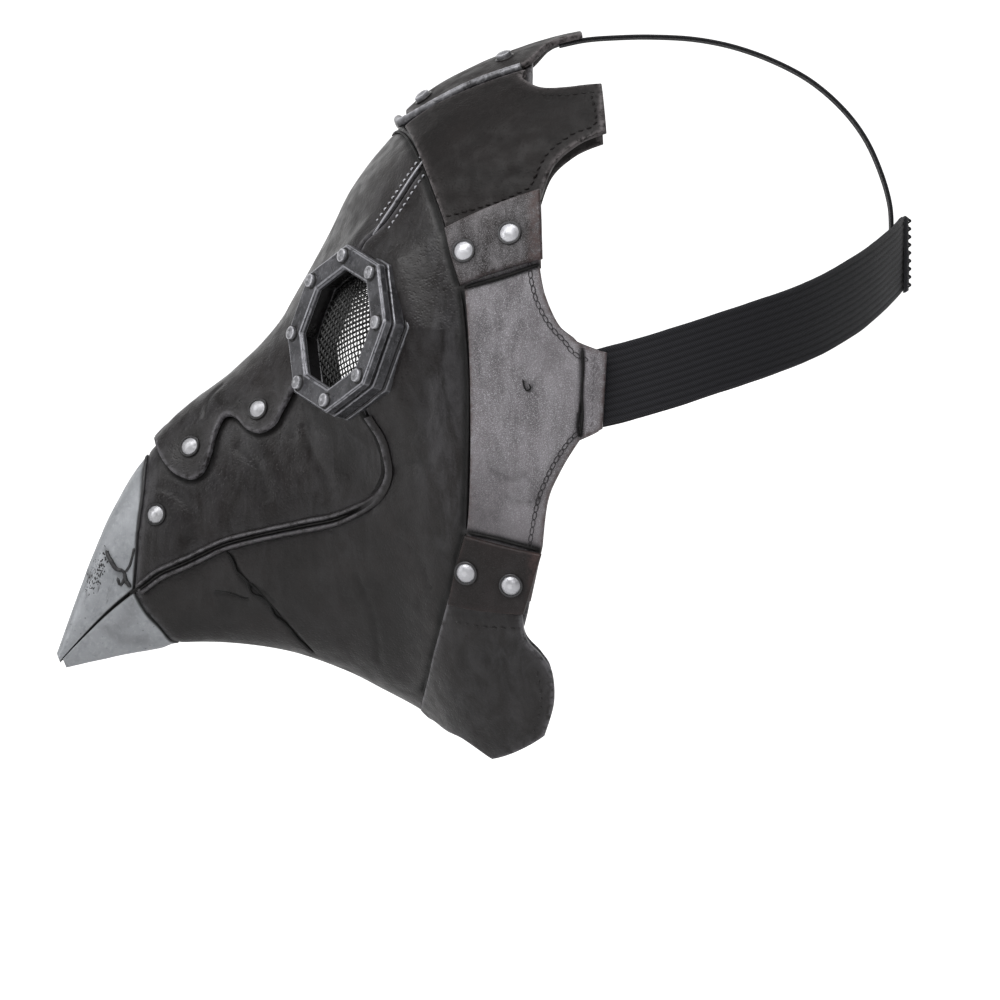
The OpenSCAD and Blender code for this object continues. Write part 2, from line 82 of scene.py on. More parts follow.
def area_light(name, place, size, watts, target=(-0.02, 0, 0)):
    data = bpy.data.lights.new(name, "AREA")
    data.shape = "RECTANGLE"
    data.size, data.size_y = size
    data.energy = watts
    light = bpy.data.objects.new(name, data)
    light.location = place
    light.rotation_euler = (Vector(target) - Vector(place)).to_track_quat("-Z", "Y").to_euler()
    bpy.context.scene.collection.objects.link(light)


def plain_material(name, shade, glow):
    material = bpy.data.materials.new(name)
    material.use_nodes = True
    shader = material.node_tree.nodes["Principled BSDF"]
    shader.inputs["Base Color"].default_value = (shade, shade, shade, 1)
    shader.inputs["Roughness"].default_value = 0.95
    shader.inputs["Specular IOR Level"].default_value = 0.0
    shader.inputs["Emission Color"].default_value = (1, 1, 1, 1)
    shader.inputs["Emission Strength"].default_value = glow
    return material


FLOOR_DROP = 0.13
FLOOR_FRONT, CURVE_FROM, WALL_AT, WALL_TOP = -7, 0.95, 4.7, 7
STAGE_HALF_WIDTH = 9


def make_stage():
    """A pale floor below the mask that curves up into a glowing white backdrop."""
    floor_z = CAD_BOX[0].z - FLOOR_DROP
    curve = WALL_AT - CURVE_FROM
    bend = [(CURVE_FROM + curve * math.sin(a), floor_z + curve - curve * math.cos(a))
            for a in np.linspace(0, math.pi / 2, 32)]
    for name, line, glow in (("floor", [(FLOOR_FRONT, floor_z), (CURVE_FROM, floor_z)], 0.0),
                             ("backdrop", bend + [(WALL_AT, floor_z + WALL_TOP)], 0.95)):
        points = [(x, y, z) for y, z in line for x in (-STAGE_HALF_WIDTH, STAGE_HALF_WIDTH)]
        faces = [(2 * k, 2 * k + 1, 2 * k + 3, 2 * k + 2) for k in range(len(line) - 1)]
        mesh = bpy.data.meshes.new(name)
        mesh.from_pydata(points, [], faces)
        mesh.shade_smooth()
        mesh.materials.append(plain_material(name, 0.8, glow))
        thing = bpy.data.objects.new(name, mesh)
        bpy.context.scene.collection.objects.link(thing)
    world = bpy.data.worlds.new("studio")
    world.use_nodes = True
    world.node_tree.nodes["Background"].inputs["Color"].default_value = (1, 1, 1, 1)
    world.node_tree.nodes["Background"].inputs["Strength"].default_value = 0.07
    bpy.context.scene.world = world
    bpy.context.scene.view_settings.view_transform = "Standard"
    area_light("key", (-0.55, -0.75, 1.2), (1.3, 1.0), 17)
    area_light("top", (0.25, -0.1, 1.3), (1.0, 0.5), 7)
    area_light("front", (-1.4, -0.35, 0.3), (0.5, 0.9), 4)
    area_light("fill", (0.3, -2.2, 0.7), (1.2, 0.8), 7)


make_camera()
make_stage()


# ---- The face as a fan of sections --------------------------------------------------------
# The same design as the CAD model, in millimetres. Each row: top x and z, bottom x and z,
# half width, how far down the widest point is, and how square the lower half is.
STATIONS = np.array([
    [-171, -89, -169, -94, 2.6, 0.52, 2],
    [-159, -56, -149, -89.5, 6.5, 0.54, 2],
    [-149.5, -35, -135, -87, 10.5, 0.55, 2],
    [-139, -19, -128, -85, 15, 0.55, 2],
    [-124, -4, -110, -85, 20, 0.53, 2.1],
    [-107, 9, -89, -88, 27, 0.50, 2.15],
    [-92, 24.5, -70, -94.5, 34, 0.47, 2.2],
    [-84, 38.5, -56, -101.5, 40, 0.44, 2.3],
    [-77, 54.5, -44, -108, 46.5, 0.42, 2.4],
    [-68, 73.5, -37, -113.5, 56, 0.40, 2.4],
    [-56, 89.5, -30, -124, 64.5, 0.39, 2.35],
    [-40, 105.5, -22, -134, 71, 0.39, 2.25],
    [-16, 118, -12, -141, 76, 0.39, 2.2],
    [12, 126.5, 0, -145, 79, 0.39, 2.2],
    [33, 127.5, 12, -148, 80, 0.39, 2.2]], float)
LAST_STATION = len(STATIONS) - 1


def spline(points, s):
    """Catmull-Rom through points at parameters s, one unit a span."""
    points = np.asarray(points, float)
    last = len(points) - 1
    i = np.clip(np.floor(s).astype(int), 0, last - 1)
    f = (s - i)[..., None]
    a, b = points[np.maximum(i - 1, 0)], points[i]
    c, d = points[i + 1], points[np.minimum(i + 2, last)]
    return 0.5 * (2 * b + (c - a) * f + (2 * a - 5 * b + 4 * c - d) * f**2
                  + (3 * b - a - 3 * c + d) * f**3)


def along(points, u):
    return spline(points, np.clip(u, 0, 1) * (len(points) - 1))


def skin(q):
    """Points of the face at fan positions q = (station, degrees from the top ridge)."""
    t, angle = q[..., 0], np.radians(q[..., 1])
    s = spline(STATIONS, t)
    c = np.cos(angle)
    drop = np.where(c > 0, s[..., 5] * (1 - c), s[..., 5] - (1 - s[..., 5]) * c)
    power = s[..., 6]
    squared = np.power(np.maximum(1 - np.maximum(-c, 0) ** power, 0), 1 / power)
    width = np.where(c > 0, np.abs(np.sin(angle)), squared)
    x = s[..., 0] + (s[..., 2] - s[..., 0]) * drop
    z = s[..., 1] + (s[..., 3] - s[..., 1]) * drop
    return np.stack([x, -s[..., 4] * width * np.sign(np.sin(angle)), z], -1)


def unit(v):
    return v / np.maximum(np.linalg.norm(v, axis=-1, keepdims=True), 1e-12)


def outward(q):
    dt, da = np.array([0.05, 0]), np.array([0, 0.5])
    return unit(np.cross(skin(q + da) - skin(q - da), skin(q + dt) - skin(q - dt)))


def raised(q, h):
    q = np.asarray(q, float)
    return skin(q) + np.asarray(h, float)[..., None] * outward(q)


def fan(points):
    """Fan positions of left-side points given as they show in the side view."""
    p = np.atleast_2d(np.asarray(points, float))
    lo, hi = np.zeros(len(p)), np.full(len(p), float(LAST_STATION))
    for _ in range(30):
        mid = (lo + hi) / 2
        s = spline(STATIONS, mid)
        down, gap = s[:, 2:4] - s[:, 0:2], p - s[:, 0:2]
        behind = down[:, 0] * gap[:, 1] - down[:, 1] * gap[:, 0] > 0
        lo, hi = np.where(behind, mid, lo), np.where(behind, hi, mid)
    s = spline(STATIONS, (lo + hi) / 2)
    down = s[:, 2:4] - s[:, 0:2]
    f = ((p - s[:, 0:2]) * down).sum(1) / (down**2).sum(1)
    c = np.where(f < s[:, 5], 1 - f / s[:, 5], -(f - s[:, 5]) / (1 - s[:, 5]))
    return np.stack([(lo + hi) / 2, np.degrees(np.arccos(np.clip(c, -1, 1)))], 1)


def beside(q, step):
    return np.asarray(q, float) + [0, step]


def border(runs, u):
    """A border made of smooth runs that meet at sharp corners, even spans throughout."""
    total = sum(len(r) - 1 for r in runs)
    s = np.clip(u, 0, 1) * total
    out = np.zeros(s.shape + (2,))
    start = 0
    for k, run in enumerate(runs):
        n = len(run) - 1
        here = (s >= start - 1e-9) & ((s < start + n) | (k == len(runs) - 1))
        out[here] = along(run, (s[here] - start) / n)
        start += n
    return out


# ---- Value noise for shapes ---------------------------------------------------------------
def lattice(cell, seed):
    """A repeatable number from -1 to 1 for each whole-numbered cell."""
    h = (cell @ np.array([374761393, 668265263, 2147483647]) + seed * 144665) & 0xFFFFFFFF
    h = ((h ^ (h >> 13)) * 1274126177) & 0xFFFFFFFF
    return ((h ^ (h >> 16)) & 0xFFFF) / 32767.5 - 1


def noise(points, size, seed=0):
    """Smooth noise from -1 to 1 with features of the given size."""
    p = points / size
    cell = np.floor(p).astype(np.int64)
    f = p - cell
    f = f * f * (3 - 2 * f)
    total = 0
    for corner in np.ndindex(2, 2, 2):
        c = np.array(corner)
        weight = np.prod(np.where(c, f, 1 - f), axis=-1)
        total = total + weight * lattice(cell + c, seed)
    return total


def rumple(points, size, seed=0, octaves=3):
    return sum(noise(points, size / 2**k, seed + k) / 2**k for k in range(octaves)) / 1.6


def line_distance(points, line):
    """Distance of points from a polyline, and how far along it the nearest place is, 0 to 1."""
    line = np.asarray(line, float)
    best = np.full(points.shape[:-1], 1e9)
    place = np.zeros(points.shape[:-1])
    for k in range(len(line) - 1):
        a, ab = line[k], line[k + 1] - line[k]
        f = np.clip(((points - a) @ ab) / (ab @ ab), 0, 1)
        d = np.linalg.norm(points - (a + f[..., None] * ab), axis=-1)
        place = np.where(d < best, (k + f) / (len(line) - 1), place)
        best = np.minimum(best, d)
    return best, place


def smooth(x, lo, hi):
    f = np.clip((x - lo) / (hi - lo), 0, 1)
    return f * f * (3 - 2 * f)


# ---- Materials ----------------------------------------------------------------------------
class Nodes:
    """Short calls for building a node material. Sockets are given by name or number."""

    def __init__(self, name):
        self.material = bpy.data.materials.new(name)
        self.material.use_nodes = True
        self.tree = self.material.node_tree
        self.shader = self.tree.nodes["Principled BSDF"]
        self.place = self.add("ShaderNodeTexCoord").outputs["Object"]

    def add(self, kind, **settings):
        node = self.tree.nodes.new(kind)
        for key, value in settings.items():
            setattr(node, key, value)
        return node

    def set(self, socket, value):
        if isinstance(value, bpy.types.NodeSocket):
            self.tree.links.new(value, socket)
        elif isinstance(value, (tuple, list)):
            opaque = (1,) * (4 - len(value)) if socket.type == "RGBA" else ()
            socket.default_value = tuple(value) + opaque
        else:
            socket.default_value = value

    def shade(self, **values):
        for key, value in values.items():
            self.set(self.shader.inputs[key.replace("_", " ")], value)

    def noise(self, scale, detail=3, rough=0.5, warp=0.0, place=None):
        node = self.add("ShaderNodeTexNoise")
        self.set(node.inputs["Vector"], place or self.place)
        for key, value in (("Scale", scale), ("Detail", detail), ("Roughness", rough), ("Distortion", warp)):
            node.inputs[key].default_value = value
        return node.outputs["Fac"]

    def cells(self, scale):
        node = self.add("ShaderNodeTexVoronoi")
        self.set(node.inputs["Vector"], self.place)
        node.inputs["Scale"].default_value = scale
        return node.outputs["Distance"]

    def math(self, operation, a, b):
        node = self.add("ShaderNodeMath", operation=operation)
        self.set(node.inputs[0], a)
        self.set(node.inputs[1], b)
        return node.outputs[0]

    def ramp(self, value, lo, hi, out_lo=0.0, out_hi=1.0):
        node = self.add("ShaderNodeMapRange")
        node.interpolation_type = "SMOOTHSTEP"
        for key, v in ((0, value), (1, lo), (2, hi), (3, out_lo), (4, out_hi)):
            self.set(node.inputs[key], v)
        return node.outputs[0]

    def mix(self, factor, a, b):
        node = self.add("ShaderNodeMix", data_type="RGBA")
        self.set(node.inputs[0], factor)
        self.set(node.inputs[6], a)
        self.set(node.inputs[7], b)
        return node.outputs[2]

    def bump(self, height, strength, depth, normal=None):
        node = self.add("ShaderNodeBump")
        self.set(node.inputs["Height"], height)
        node.inputs["Strength"].default_value = strength
        node.inputs["Distance"].default_value = depth
        if normal:
            self.set(node.inputs["Normal"], normal)
        return node.outputs["Normal"]

    def stretched(self, scale):
        node = self.add("ShaderNodeMapping")
        self.set(node.inputs["Vector"], self.place)
        node.inputs["Scale"].default_value = scale
        return node.outputs[0]

    def paint(self):
        """The painted masks of a mesh: edge wear with painted highlights on some ridges and cords,
        dry-brushed light, and dirt with painted shade in grooves, gaps and beside edges.
        """
        node = self.add("ShaderNodeAttribute", attribute_name="paint")
        split = self.add("ShaderNodeSeparateColor")
        self.set(split.inputs[0], node.outputs["Color"])
        return split.outputs


def leather(name, dark, light, edge, speck, rough, sheen=0.36):
    """Dark dyed leather, dry-brushed with silver where the light mask says so, lighter on worn edges and
    darkened where the mask paints dirt and shade.
    """
    n = Nodes(name)
    wear_and_highlight, lit, dirt_and_shade = n.paint()
    cloud = n.noise(48, 4, 0.6)
    tone = n.mix(n.ramp(cloud, 0.32, 0.68), [c * 0.72 for c in dark], [c * 1.35 for c in dark])
    streak = n.noise(170, 5, 0.65, 0.5, place=n.stretched((1.0, 1.0, 0.35)))
    brush = n.math("MULTIPLY", lit, n.ramp(streak, 0.34, 0.72))
    tone = n.mix(n.math("MULTIPLY", brush, 0.55), tone, light)
    flecks = n.ramp(n.noise(2900, 2, 0.8), 0.48, 0.70)
    grain = n.math("MULTIPLY", flecks, n.ramp(lit, 0.0, 0.95, 0.05, speck))
    tone = n.mix(grain, tone, [min(1, c * 1.55) for c in light])
    worn = n.math("MULTIPLY", wear_and_highlight, n.ramp(n.noise(420, 4, 0.7), 0.30, 0.60))
    tone = n.mix(worn, tone, edge)
    # Near black where the mask paints dirt and shade: grooves, gaps, overlay edges and round heads.
    tone = n.mix(n.math("MULTIPLY", dirt_and_shade, 0.95), tone, [c * 0.12 for c in dark])
    pores = n.cells(950)
    creases = n.noise(240, 6, 0.62, 0.9)
    shape = n.math("ADD", n.math("MULTIPLY", n.ramp(pores, 0.0, 0.55), 0.4), creases)
    normal = n.bump(shape, 0.30, 0.0006)
    normal = n.bump(n.noise(70, 3), 0.2, 0.002, normal)
    gloss = n.ramp(n.noise(180, 4), 0.3, 0.7, rough - 0.08, rough + 0.1)
    matt = n.math("ADD", gloss, n.math("MULTIPLY", dirt_and_shade, 0.25))
    n.shade(Base_Color=tone, Roughness=matt, Normal=normal, Specular_IOR_Level=sheen)
    return n.material


def worn_metal(name, dark, bright, metallic, rough, pit=0.5):
    """Dull metal, bright where it is worn or painted with a highlight, black in pits and where the mask
    paints dirt and shade.
    """
    n = Nodes(name)
    wear_and_highlight, _, dirt_and_shade = n.paint()
    cloud = n.ramp(n.noise(130, 4, 0.55), 0.3, 0.75)
    tone = n.mix(cloud, dark, [a * 0.72 + b * 0.28 for a, b in zip(dark, bright)])
    scratch = n.ramp(n.noise(700, 4, 0.7), 0.5, 0.68)
    tone = n.mix(n.math("MULTIPLY", scratch, 0.3), tone, bright)
    tone = n.mix(n.math("MULTIPLY", wear_and_highlight, n.ramp(n.noise(500, 3), 0.25, 0.5)), tone, bright)
    pits = n.ramp(n.cells(520), 0.0, 0.22, 1.0, 0.0)
    pitted = n.math("MULTIPLY", pits, n.ramp(n.noise(90, 3), 0.5, 0.62, 0.0, pit))
    soil_and_shade = n.math("MAXIMUM", pitted, dirt_and_shade)
    tone = n.mix(n.math("MULTIPLY", soil_and_shade, 0.92), tone, (0.012, 0.011, 0.011))
    normal = n.bump(n.noise(600, 5, 0.65), 0.22, 0.0005)
    normal = n.bump(n.math("MULTIPLY", pitted, -1.0), 0.5, 0.0004, normal)
    gloss = n.ramp(n.noise(300, 4), 0.3, 0.7, rough - 0.08, rough + 0.12)
    n.shade(Base_Color=tone, Roughness=gloss, Normal=normal, Metallic=metallic)
    return n.material


def elastic_cloth(name):
    """Black knitted elastic, with painted shade between its ribs."""
    n = Nodes(name)
    rib = n.paint()[0]
    knit = n.add("ShaderNodeTexWave", wave_type="BANDS", bands_direction="DIAGONAL")
    n.set(knit.inputs["Vector"], n.place)
    knit.inputs["Scale"].default_value = 700
    knit.inputs["Distortion"].default_value = 1.5
    fibre = n.noise(2600, 2, 0.7)
    tone = n.mix(n.ramp(knit.outputs["Fac"], 0.2, 0.8), (0.006, 0.006, 0.008), (0.022, 0.022, 0.027))
    # Painted shade between the ribs.
    tone = n.mix(n.math("MULTIPLY", rib, 0.65), tone, (0.003, 0.003, 0.004))
    tone = n.mix(n.math("MULTIPLY", n.ramp(fibre, 0.6, 0.75), 0.25), tone, (0.07, 0.07, 0.08))
    normal = n.bump(knit.outputs["Fac"], 0.35, 0.0004)
    normal = n.bump(fibre, 0.25, 0.0002, normal)
    n.shade(Base_Color=tone, Roughness=0.78, Normal=normal)
    n.shade(Sheen_Weight=0.12, Sheen_Roughness=0.45, Specular_IOR_Level=0.3)
    return n.material


FACE_LEATHER = leather("face_leather", (0.0070, 0.0052, 0.0050), (0.068, 0.066, 0.071),
                       edge=(0.13, 0.125, 0.135), speck=0.12, rough=0.40, sheen=0.38)
CROWN_LEATHER = leather("crown_leather", (0.0052, 0.0036, 0.0034), (0.022, 0.019, 0.019),
                        edge=(0.12, 0.108, 0.11), speck=0.10, rough=0.52, sheen=0.20)
SIDE_LEATHER = leather("side_leather", (0.120, 0.111, 0.119), (0.35, 0.34, 0.36),
                       edge=(0.09, 0.068, 0.066), speck=0.75, rough=0.44)
KEEPER_LEATHER = leather("keeper_leather", (0.0115, 0.0085, 0.0082), (0.235, 0.224, 0.236),
                         edge=(0.058, 0.036, 0.034), speck=0.55, rough=0.46, sheen=0.30)
PIPING = worn_metal("piping", (0.012, 0.011, 0.012), (0.42, 0.42, 0.45), 0.3, 0.40)
SILVER_TIP = worn_metal("silver_tip", (0.24, 0.25, 0.265), (0.46, 0.475, 0.50), 0.25, 0.42, pit=0.9)
EYE_METAL = worn_metal("eye_metal", (0.040, 0.040, 0.044), (0.29, 0.29, 0.315), 0.5, 0.34, pit=0.7)
WIRE = worn_metal("wire_mesh", (0.005, 0.005, 0.005), (0.025, 0.025, 0.025), 0.3, 0.3)
RIVET = worn_metal("rivet_metal", (0.52, 0.52, 0.55), (0.82, 0.82, 0.86), 0.45, 0.38, pit=0.25)
ELASTIC = elastic_cloth("elastic")
BOLT = worn_metal("bolt_metal", (0.05, 0.05, 0.054), (0.50, 0.50, 0.53), 0.5, 0.34)
BEAK_RIVET = worn_metal("beak_rivet_metal", (0.30, 0.30, 0.31), (0.66, 0.66, 0.69), 0.5, 0.40, pit=0.9)


# ---- Mesh building ------------------------------------------------------------------------
def make_piece(name, points, faces, material, slot, stands_for, body, paint, crease=42):
    """A finished piece from points in millimetres, riding on a body if one is named."""
    mesh = bpy.data.meshes.new(name)
    corners = [tuple(int(i) for i in face) for face in faces]
    mesh.from_pydata((np.asarray(points, float) * MM).tolist(), [], corners)
    layer = mesh.attributes.new("paint", "FLOAT_COLOR", "POINT")
    colours = np.hstack([paint, np.ones((len(paint), 1))])
    layer.data.foreach_set("color", colours.astype(np.float32).ravel())
    mesh.shade_smooth()
    mesh.set_sharp_from_angle(angle=math.radians(crease))
    mesh.materials.append(material)
    piece = bpy.data.objects.new(name, mesh)
    bpy.context.scene.collection.objects.link(piece)
    if body:
        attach(piece, body)
    if stands_for:
        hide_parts(*stands_for)
    return piece


class Parts:
    """Collects points, faces and paint of several closed shapes into one piece."""

    def __init__(self):
        self.points, self.faces, self.paint, self.count = [], [], [], 0

    def add(self, points, faces, paint=(0, 0, 0)):
        points = np.asarray(points, float).reshape(-1, 3)
        self.points.append(points)
        self.faces += [[i + self.count for i in f] for f in faces]
        self.paint.append(np.broadcast_to(np.asarray(paint, float), (len(points), 3)))
        self.count += len(points)

    def make(self, name, material, slot, stands_for=(), side=1.0, body="mask", crease=42):
        points = np.vstack(self.points) * [1, side, 1]
        faces = self.faces if side > 0 else [f[::-1] for f in self.faces]
        paint = np.vstack(self.paint)
        return make_piece(name, points, faces, material, slot, stands_for, body, paint, crease)


def tube_faces(rings, sides, closed=False):
    faces = []
    for i in range(rings if closed else rings - 1):
        a, b = i * sides, ((i + 1) % rings) * sides
        faces += [[a + j, b + j, b + (j + 1) % sides, a + (j + 1) % sides] for j in range(sides)]
    if not closed:
        faces += [list(range(sides)), [(rings - 1) * sides + j for j in range(sides)][::-1]]
    return faces


def loft(rings, closed=False):
    rings = np.asarray(rings, float)
    return rings.reshape(-1, 3), tube_faces(len(rings), rings.shape[1], closed)


def circle(around):
    """Even angles round a full turn."""
    return np.linspace(0, 2 * math.pi, around, endpoint=False)


def tube(line, radius, aside, up, around):
    """Rings of points round a line. The radius is one number or one for each place."""
    a = circle(around)[:, None]
    return line[:, None] + radius * (np.cos(a) * aside[..., None, :] + np.sin(a) * up[..., None, :])


def coons(top, bottom, front, rear, us, vs):
    """A grid of fan positions that fills the space between four borders."""
    u, v = us[:, None, None], vs[None, :, None]
    t, b = border(top, us)[:, None], border(bottom, us)[:, None]
    f, r = border(front, vs)[None], border(rear, vs)[None]
    corners = (1 - v) * ((1 - u) * t[:1] + u * t[-1:]) + v * ((1 - u) * b[:1] + u * b[-1:])
    return (1 - v) * t + v * b + (1 - u) * f + u * r - corners


def nearest(points, targets):
    """Distance of each point from the nearest target."""
    tree = kdtree.KDTree(len(targets))
    for k, p in enumerate(targets):
        tree.insert(p, k)
    tree.balance()
    flat = points.reshape(-1, 3)
    return np.array([tree.find(p)[2] for p in flat]).reshape(points.shape[:-1])


LEATHER_T = 2.2
ROUND_R = 0.9


def rounded(d):
    """How far a rounded edge falls below the surface at distance d from the border."""
    return ROUND_R * (1 - np.sqrt(1 - (1 - np.clip(d / ROUND_R, 0, 1)) ** 2))


def panel(name, q, low, material, slot, node, side, shape, light, hole=None, edge_wear=0.8, worn=None):
    """A leather panel on a grid of fan positions: rounded edges, moulded shape and painted masks.
    shape(points) gives extra height, and the dirt and painted shade in grooves and beside edges;
    light(points) gives the dry-brushed mask and worn(points) any worn areas besides the edges."""
    base = skin(q)
    normal = outward(q)
    mid = base + (np.asarray(low)[..., None] + LEATHER_T / 2) * normal
    d = nearest(mid, np.vstack([mid[:, 0], mid[:, -1], mid[0], mid[-1]]))
    roll = rounded(d)
    extra, dirt_and_shade = shape(base)
    undulation = 0.22 * rumple(base, 16, 5) + 0.05 * rumple(base, 3.5, 9, 2)
    swell = collar(base) if hole is not None else 0.0
    high = low + LEATHER_T - roll + extra * smooth(d, 0, 0.8) + undulation * smooth(d, 0, 5) + swell
    outer = base + high[..., None] * normal
    inner = base + (low + 0.25 * roll + swell)[..., None] * normal
    wear_and_highlight = np.clip(1 - d / 1.5, 0, 1) * edge_wear + 0.25 * np.clip(1 - d / 4, 0, 1) * edge_wear
    if worn:
        wear_and_highlight = np.maximum(wear_and_highlight, worn(base))
    total = d.size
    index = np.arange(total).reshape(d.shape)
    kept = np.ones((d.shape[0] - 1, d.shape[1] - 1), bool)
    if hole is not None:
        inside = hole(mid + swell[..., None] * normal)
        kept = ~(inside[:-1, :-1] & inside[1:, :-1] & inside[:-1, 1:] & inside[1:, 1:])
    quads = np.stack([index[:-1, :-1], index[1:, :-1], index[1:, 1:], index[:-1, 1:]], -1)[kept]
    faces = np.vstack([quads, quads[:, [0, 3, 2, 1]] + total]).tolist()
    edges = {}
    for quad in quads.tolist():
        for i, j in zip(quad, quad[1:] + quad[:1]):
            if (j, i) in edges:
                del edges[(j, i)]
            else:
                edges[(i, j)] = True
    faces += [[j, i, i + total, j + total] for i, j in edges]
    points = np.vstack([outer.reshape(-1, 3), inner.reshape(-1, 3)])
    masks = np.clip(np.stack([wear_and_highlight, light(base), dirt_and_shade], -1), 0, 1).reshape(-1, 3)
    masks = np.vstack([masks, masks * [1, 0.2, 1]])
    used = np.unique(np.concatenate([np.asarray(f) for f in faces]))
    renumber = np.full(2 * total, -1)
    renumber[used] = np.arange(len(used))
    faces = [[int(renumber[i]) for i in f][::int(side)] for f in faces]
    make_piece(name, points[used] * [1, side, 1], faces, material, slot, [node], "mask", masks[used])


def arc_points(route, spacing):
    """Evenly spaced fan positions along a smooth route of fan positions."""
    fine = along(route, np.linspace(0, 1, 40 * len(route)))
    s = np.concatenate([[0], np.cumsum(np.linalg.norm(np.diff(skin(fine), axis=0), axis=1))])
    places = np.linspace(0, s[-1], max(2, int(round(s[-1] / spacing)) + 1))
    return np.stack([np.interp(places, s, fine[:, k]) for k in (0, 1)], 1)


def frame_along(q, height):
    """Points, forward, sideways and outward directions along a line of fan positions."""
    p = raised(q, height)
    ahead = unit(np.gradient(p, axis=0))
    up = outward(q)
    return p, ahead, unit(np.cross(ahead, up)), up


def stitch_row(parts, route, height, pitch=2.9, length=2.3, width=0.75, tilt=14.0, lit=0.4):
    """A row of thread stitches as small sunken capsules."""
    p, ahead, aside, up = frame_along(arc_points(route, pitch), height)
    turn = math.radians(tilt)
    f = np.linspace(-1, 1, 6)
    radius = width / 2 * np.maximum(0.22, np.sqrt(1 - f**4))
    for k in range(len(p)):
        forward = math.cos(turn) * ahead[k] + math.sin(turn) * aside[k]
        line = p[k] + np.outer(f * length / 2, forward) - np.outer(0.35 * f * f, up[k])
        rings = tube(line, radius[:, None, None], np.cross(up[k], forward), 0.75 * up[k], 6)
        parts.add(*loft(rings), paint=(max(0.0, 2 * lit - 1), lit, 0))


def chain_row(parts, route, height, pitch=2.7):
    """A row of chain stitches: dark oval loops of thread pressed into the leather."""
    p, ahead, aside, up = frame_along(arc_points(route, pitch), height)
    loop = circle(12)[:, None]
    for k in range(len(p)):
        centre = p[k] + 0.5 * pitch * ahead[k]
        line = centre + (0.56 * pitch * np.cos(loop)) * ahead[k] + (0.62 * np.sin(loop)) * aside[k]
        rings = tube(line, 0.24, unit(line - centre), up[k], 5)
        parts.add(*loft(rings, closed=True), paint=(0, 0.0, 0.85))


def bead(parts, route, height, radius, blunt=0.12, swollen=False, paint=(0.0, 0.0, 1.0)):
    """A thin round line with pointed ends that lies along the surface, black unless painted."""
    q = arc_points(route, 0.8)
    p, ahead, aside, up = frame_along(q, height)
    if swollen:
        p = p + collar(p)[:, None] * up
    place = np.linspace(0, 1, len(q))
    size = radius * np.clip(np.minimum(place, 1 - place) * 14 + blunt, 0, 1)
    size = size * (1 + 0.22 * rumple(p, 2.4, 51))
    parts.add(*loft(tube(p, size[:, None, None], aside, up, 6)), paint=paint)


# ---- Seams and borders shared by the panels -----------------------------------------------
# Side-view points, left side, in millimetres.
MOUTH_LINE = [[-143.5, -67], [-128, -58], [-110, -50], [-86, -44.5], [-72, -41.5], [-60, -35.5],
              [-54.5, -27.5], [-55, -19], [-58, -9], [-60, -3]]
BROW_SEAM = [[-61, 52.5], [-51, 68], [-40, 84], [-33, 93]]
NOSE_EDGE = [[-135.2, -13.5], [-134, -19], [-130, -25], [-124, -28], [-119, -26], [-116, -19.5],
             [-114, -12], [-111, -6.5], [-107, -7], [-103.5, -10.5], [-99, -12], [-93.5, -9], [-90, -3],
             [-84, 8]]
TOP_OPEN, CHIN_OPEN = 12.4, 8.7
SEAM_STEP, RIDGE_GAP, CHIN_GAP = 0.7, 0.6, 179.6
SEAM_STEP, RIDGE_GAP, CHIN_GAP = 0.7, 0.6, 179.6
OVERLAY_LO = 0.35
OVERLAY_HI = OVERLAY_LO + LEATHER_T
KEEPER_LO = OVERLAY_HI + 0.35
KEEPER_HI = KEEPER_LO + LEATHER_T
GRID = 1.0
EDGE_ROWS = np.array([0, 0.22, 0.5, 0.85, 1.3])

MOUTH, BROW = fan(MOUTH_LINE), fan(BROW_SEAM)
TIP_CORNER = fan([-143.5, -66.5])[0]
UPPER_JOIN = np.vstack([[3.03, RIDGE_GAP], fan([[-140, -30], [-142, -46]]), TIP_CORNER - [0, SEAM_STEP]])
LOWER_JOIN = np.vstack([TIP_CORNER + [0, SEAM_STEP], fan([[-138.5, -75], [-133, -81.5]]), [3.03, CHIN_GAP]])


def runs(*routes):
    """A border of one run for each side-view route."""
    return [fan(route) for route in routes]


def even(a, b):
    """Parameters that space out two opposite borders evenly, hit their corners and crowd at the ends."""
    fine = np.linspace(0, 1, 1600)
    ends = [skin(border(r, fine)) for r in (a, b)]
    stride = np.max([np.linalg.norm(np.diff(p, axis=0), axis=1) for p in ends], axis=0)
    s = np.concatenate([[0], np.cumsum(stride)])
    total = s[-1]
    targets = np.linspace(0, total, max(3, int(round(total / GRID)) + 1))
    targets = targets[(targets > 1.9) & (targets < total - 1.9)]
    targets = np.concatenate([EDGE_ROWS, total - EDGE_ROWS, targets])
    u = np.interp(np.sort(targets), s, fine)
    corners = []
    for border_runs in (a, b):
        spans = np.cumsum([len(r) - 1 for r in border_runs])
        corners += list(spans[:-1] / spans[-1])
    for c in corners:
        corner_at = np.interp(c, fine, s)
        u = np.array([x for x in u if abs(np.interp(x, fine, s) - corner_at) > 0.4 * GRID] + [c])
    return np.unique(np.concatenate([[0, 1], np.sort(u)]))


def across_middle(edge, half_width, inner, count):
    """A grid of fan positions over a panel that crosses the middle plane, from its left border."""
    us = even(edge, edge)
    near = EDGE_ROWS / half_width
    vs = np.concatenate([-1 + near, 1 - near, np.linspace(-inner, inner, count)])
    vs = np.unique(np.round(vs, 6))
    e = border(edge, us)
    return np.stack([np.broadcast_to(e[:, :1], (len(us), len(vs))), e[:, 1:] * vs[None]], -1)


# A relief feature is a raised or sunken line in 3-D with its half width, height, and its dirt and painted
# shade.
def mark(route, width, height, soil_and_shade):
    """A relief feature along a side-view route."""
    q = along(fan(route), np.linspace(0, 1, 6 * (len(route) - 1) + 1))
    return skin(q), width, height, soil_and_shade


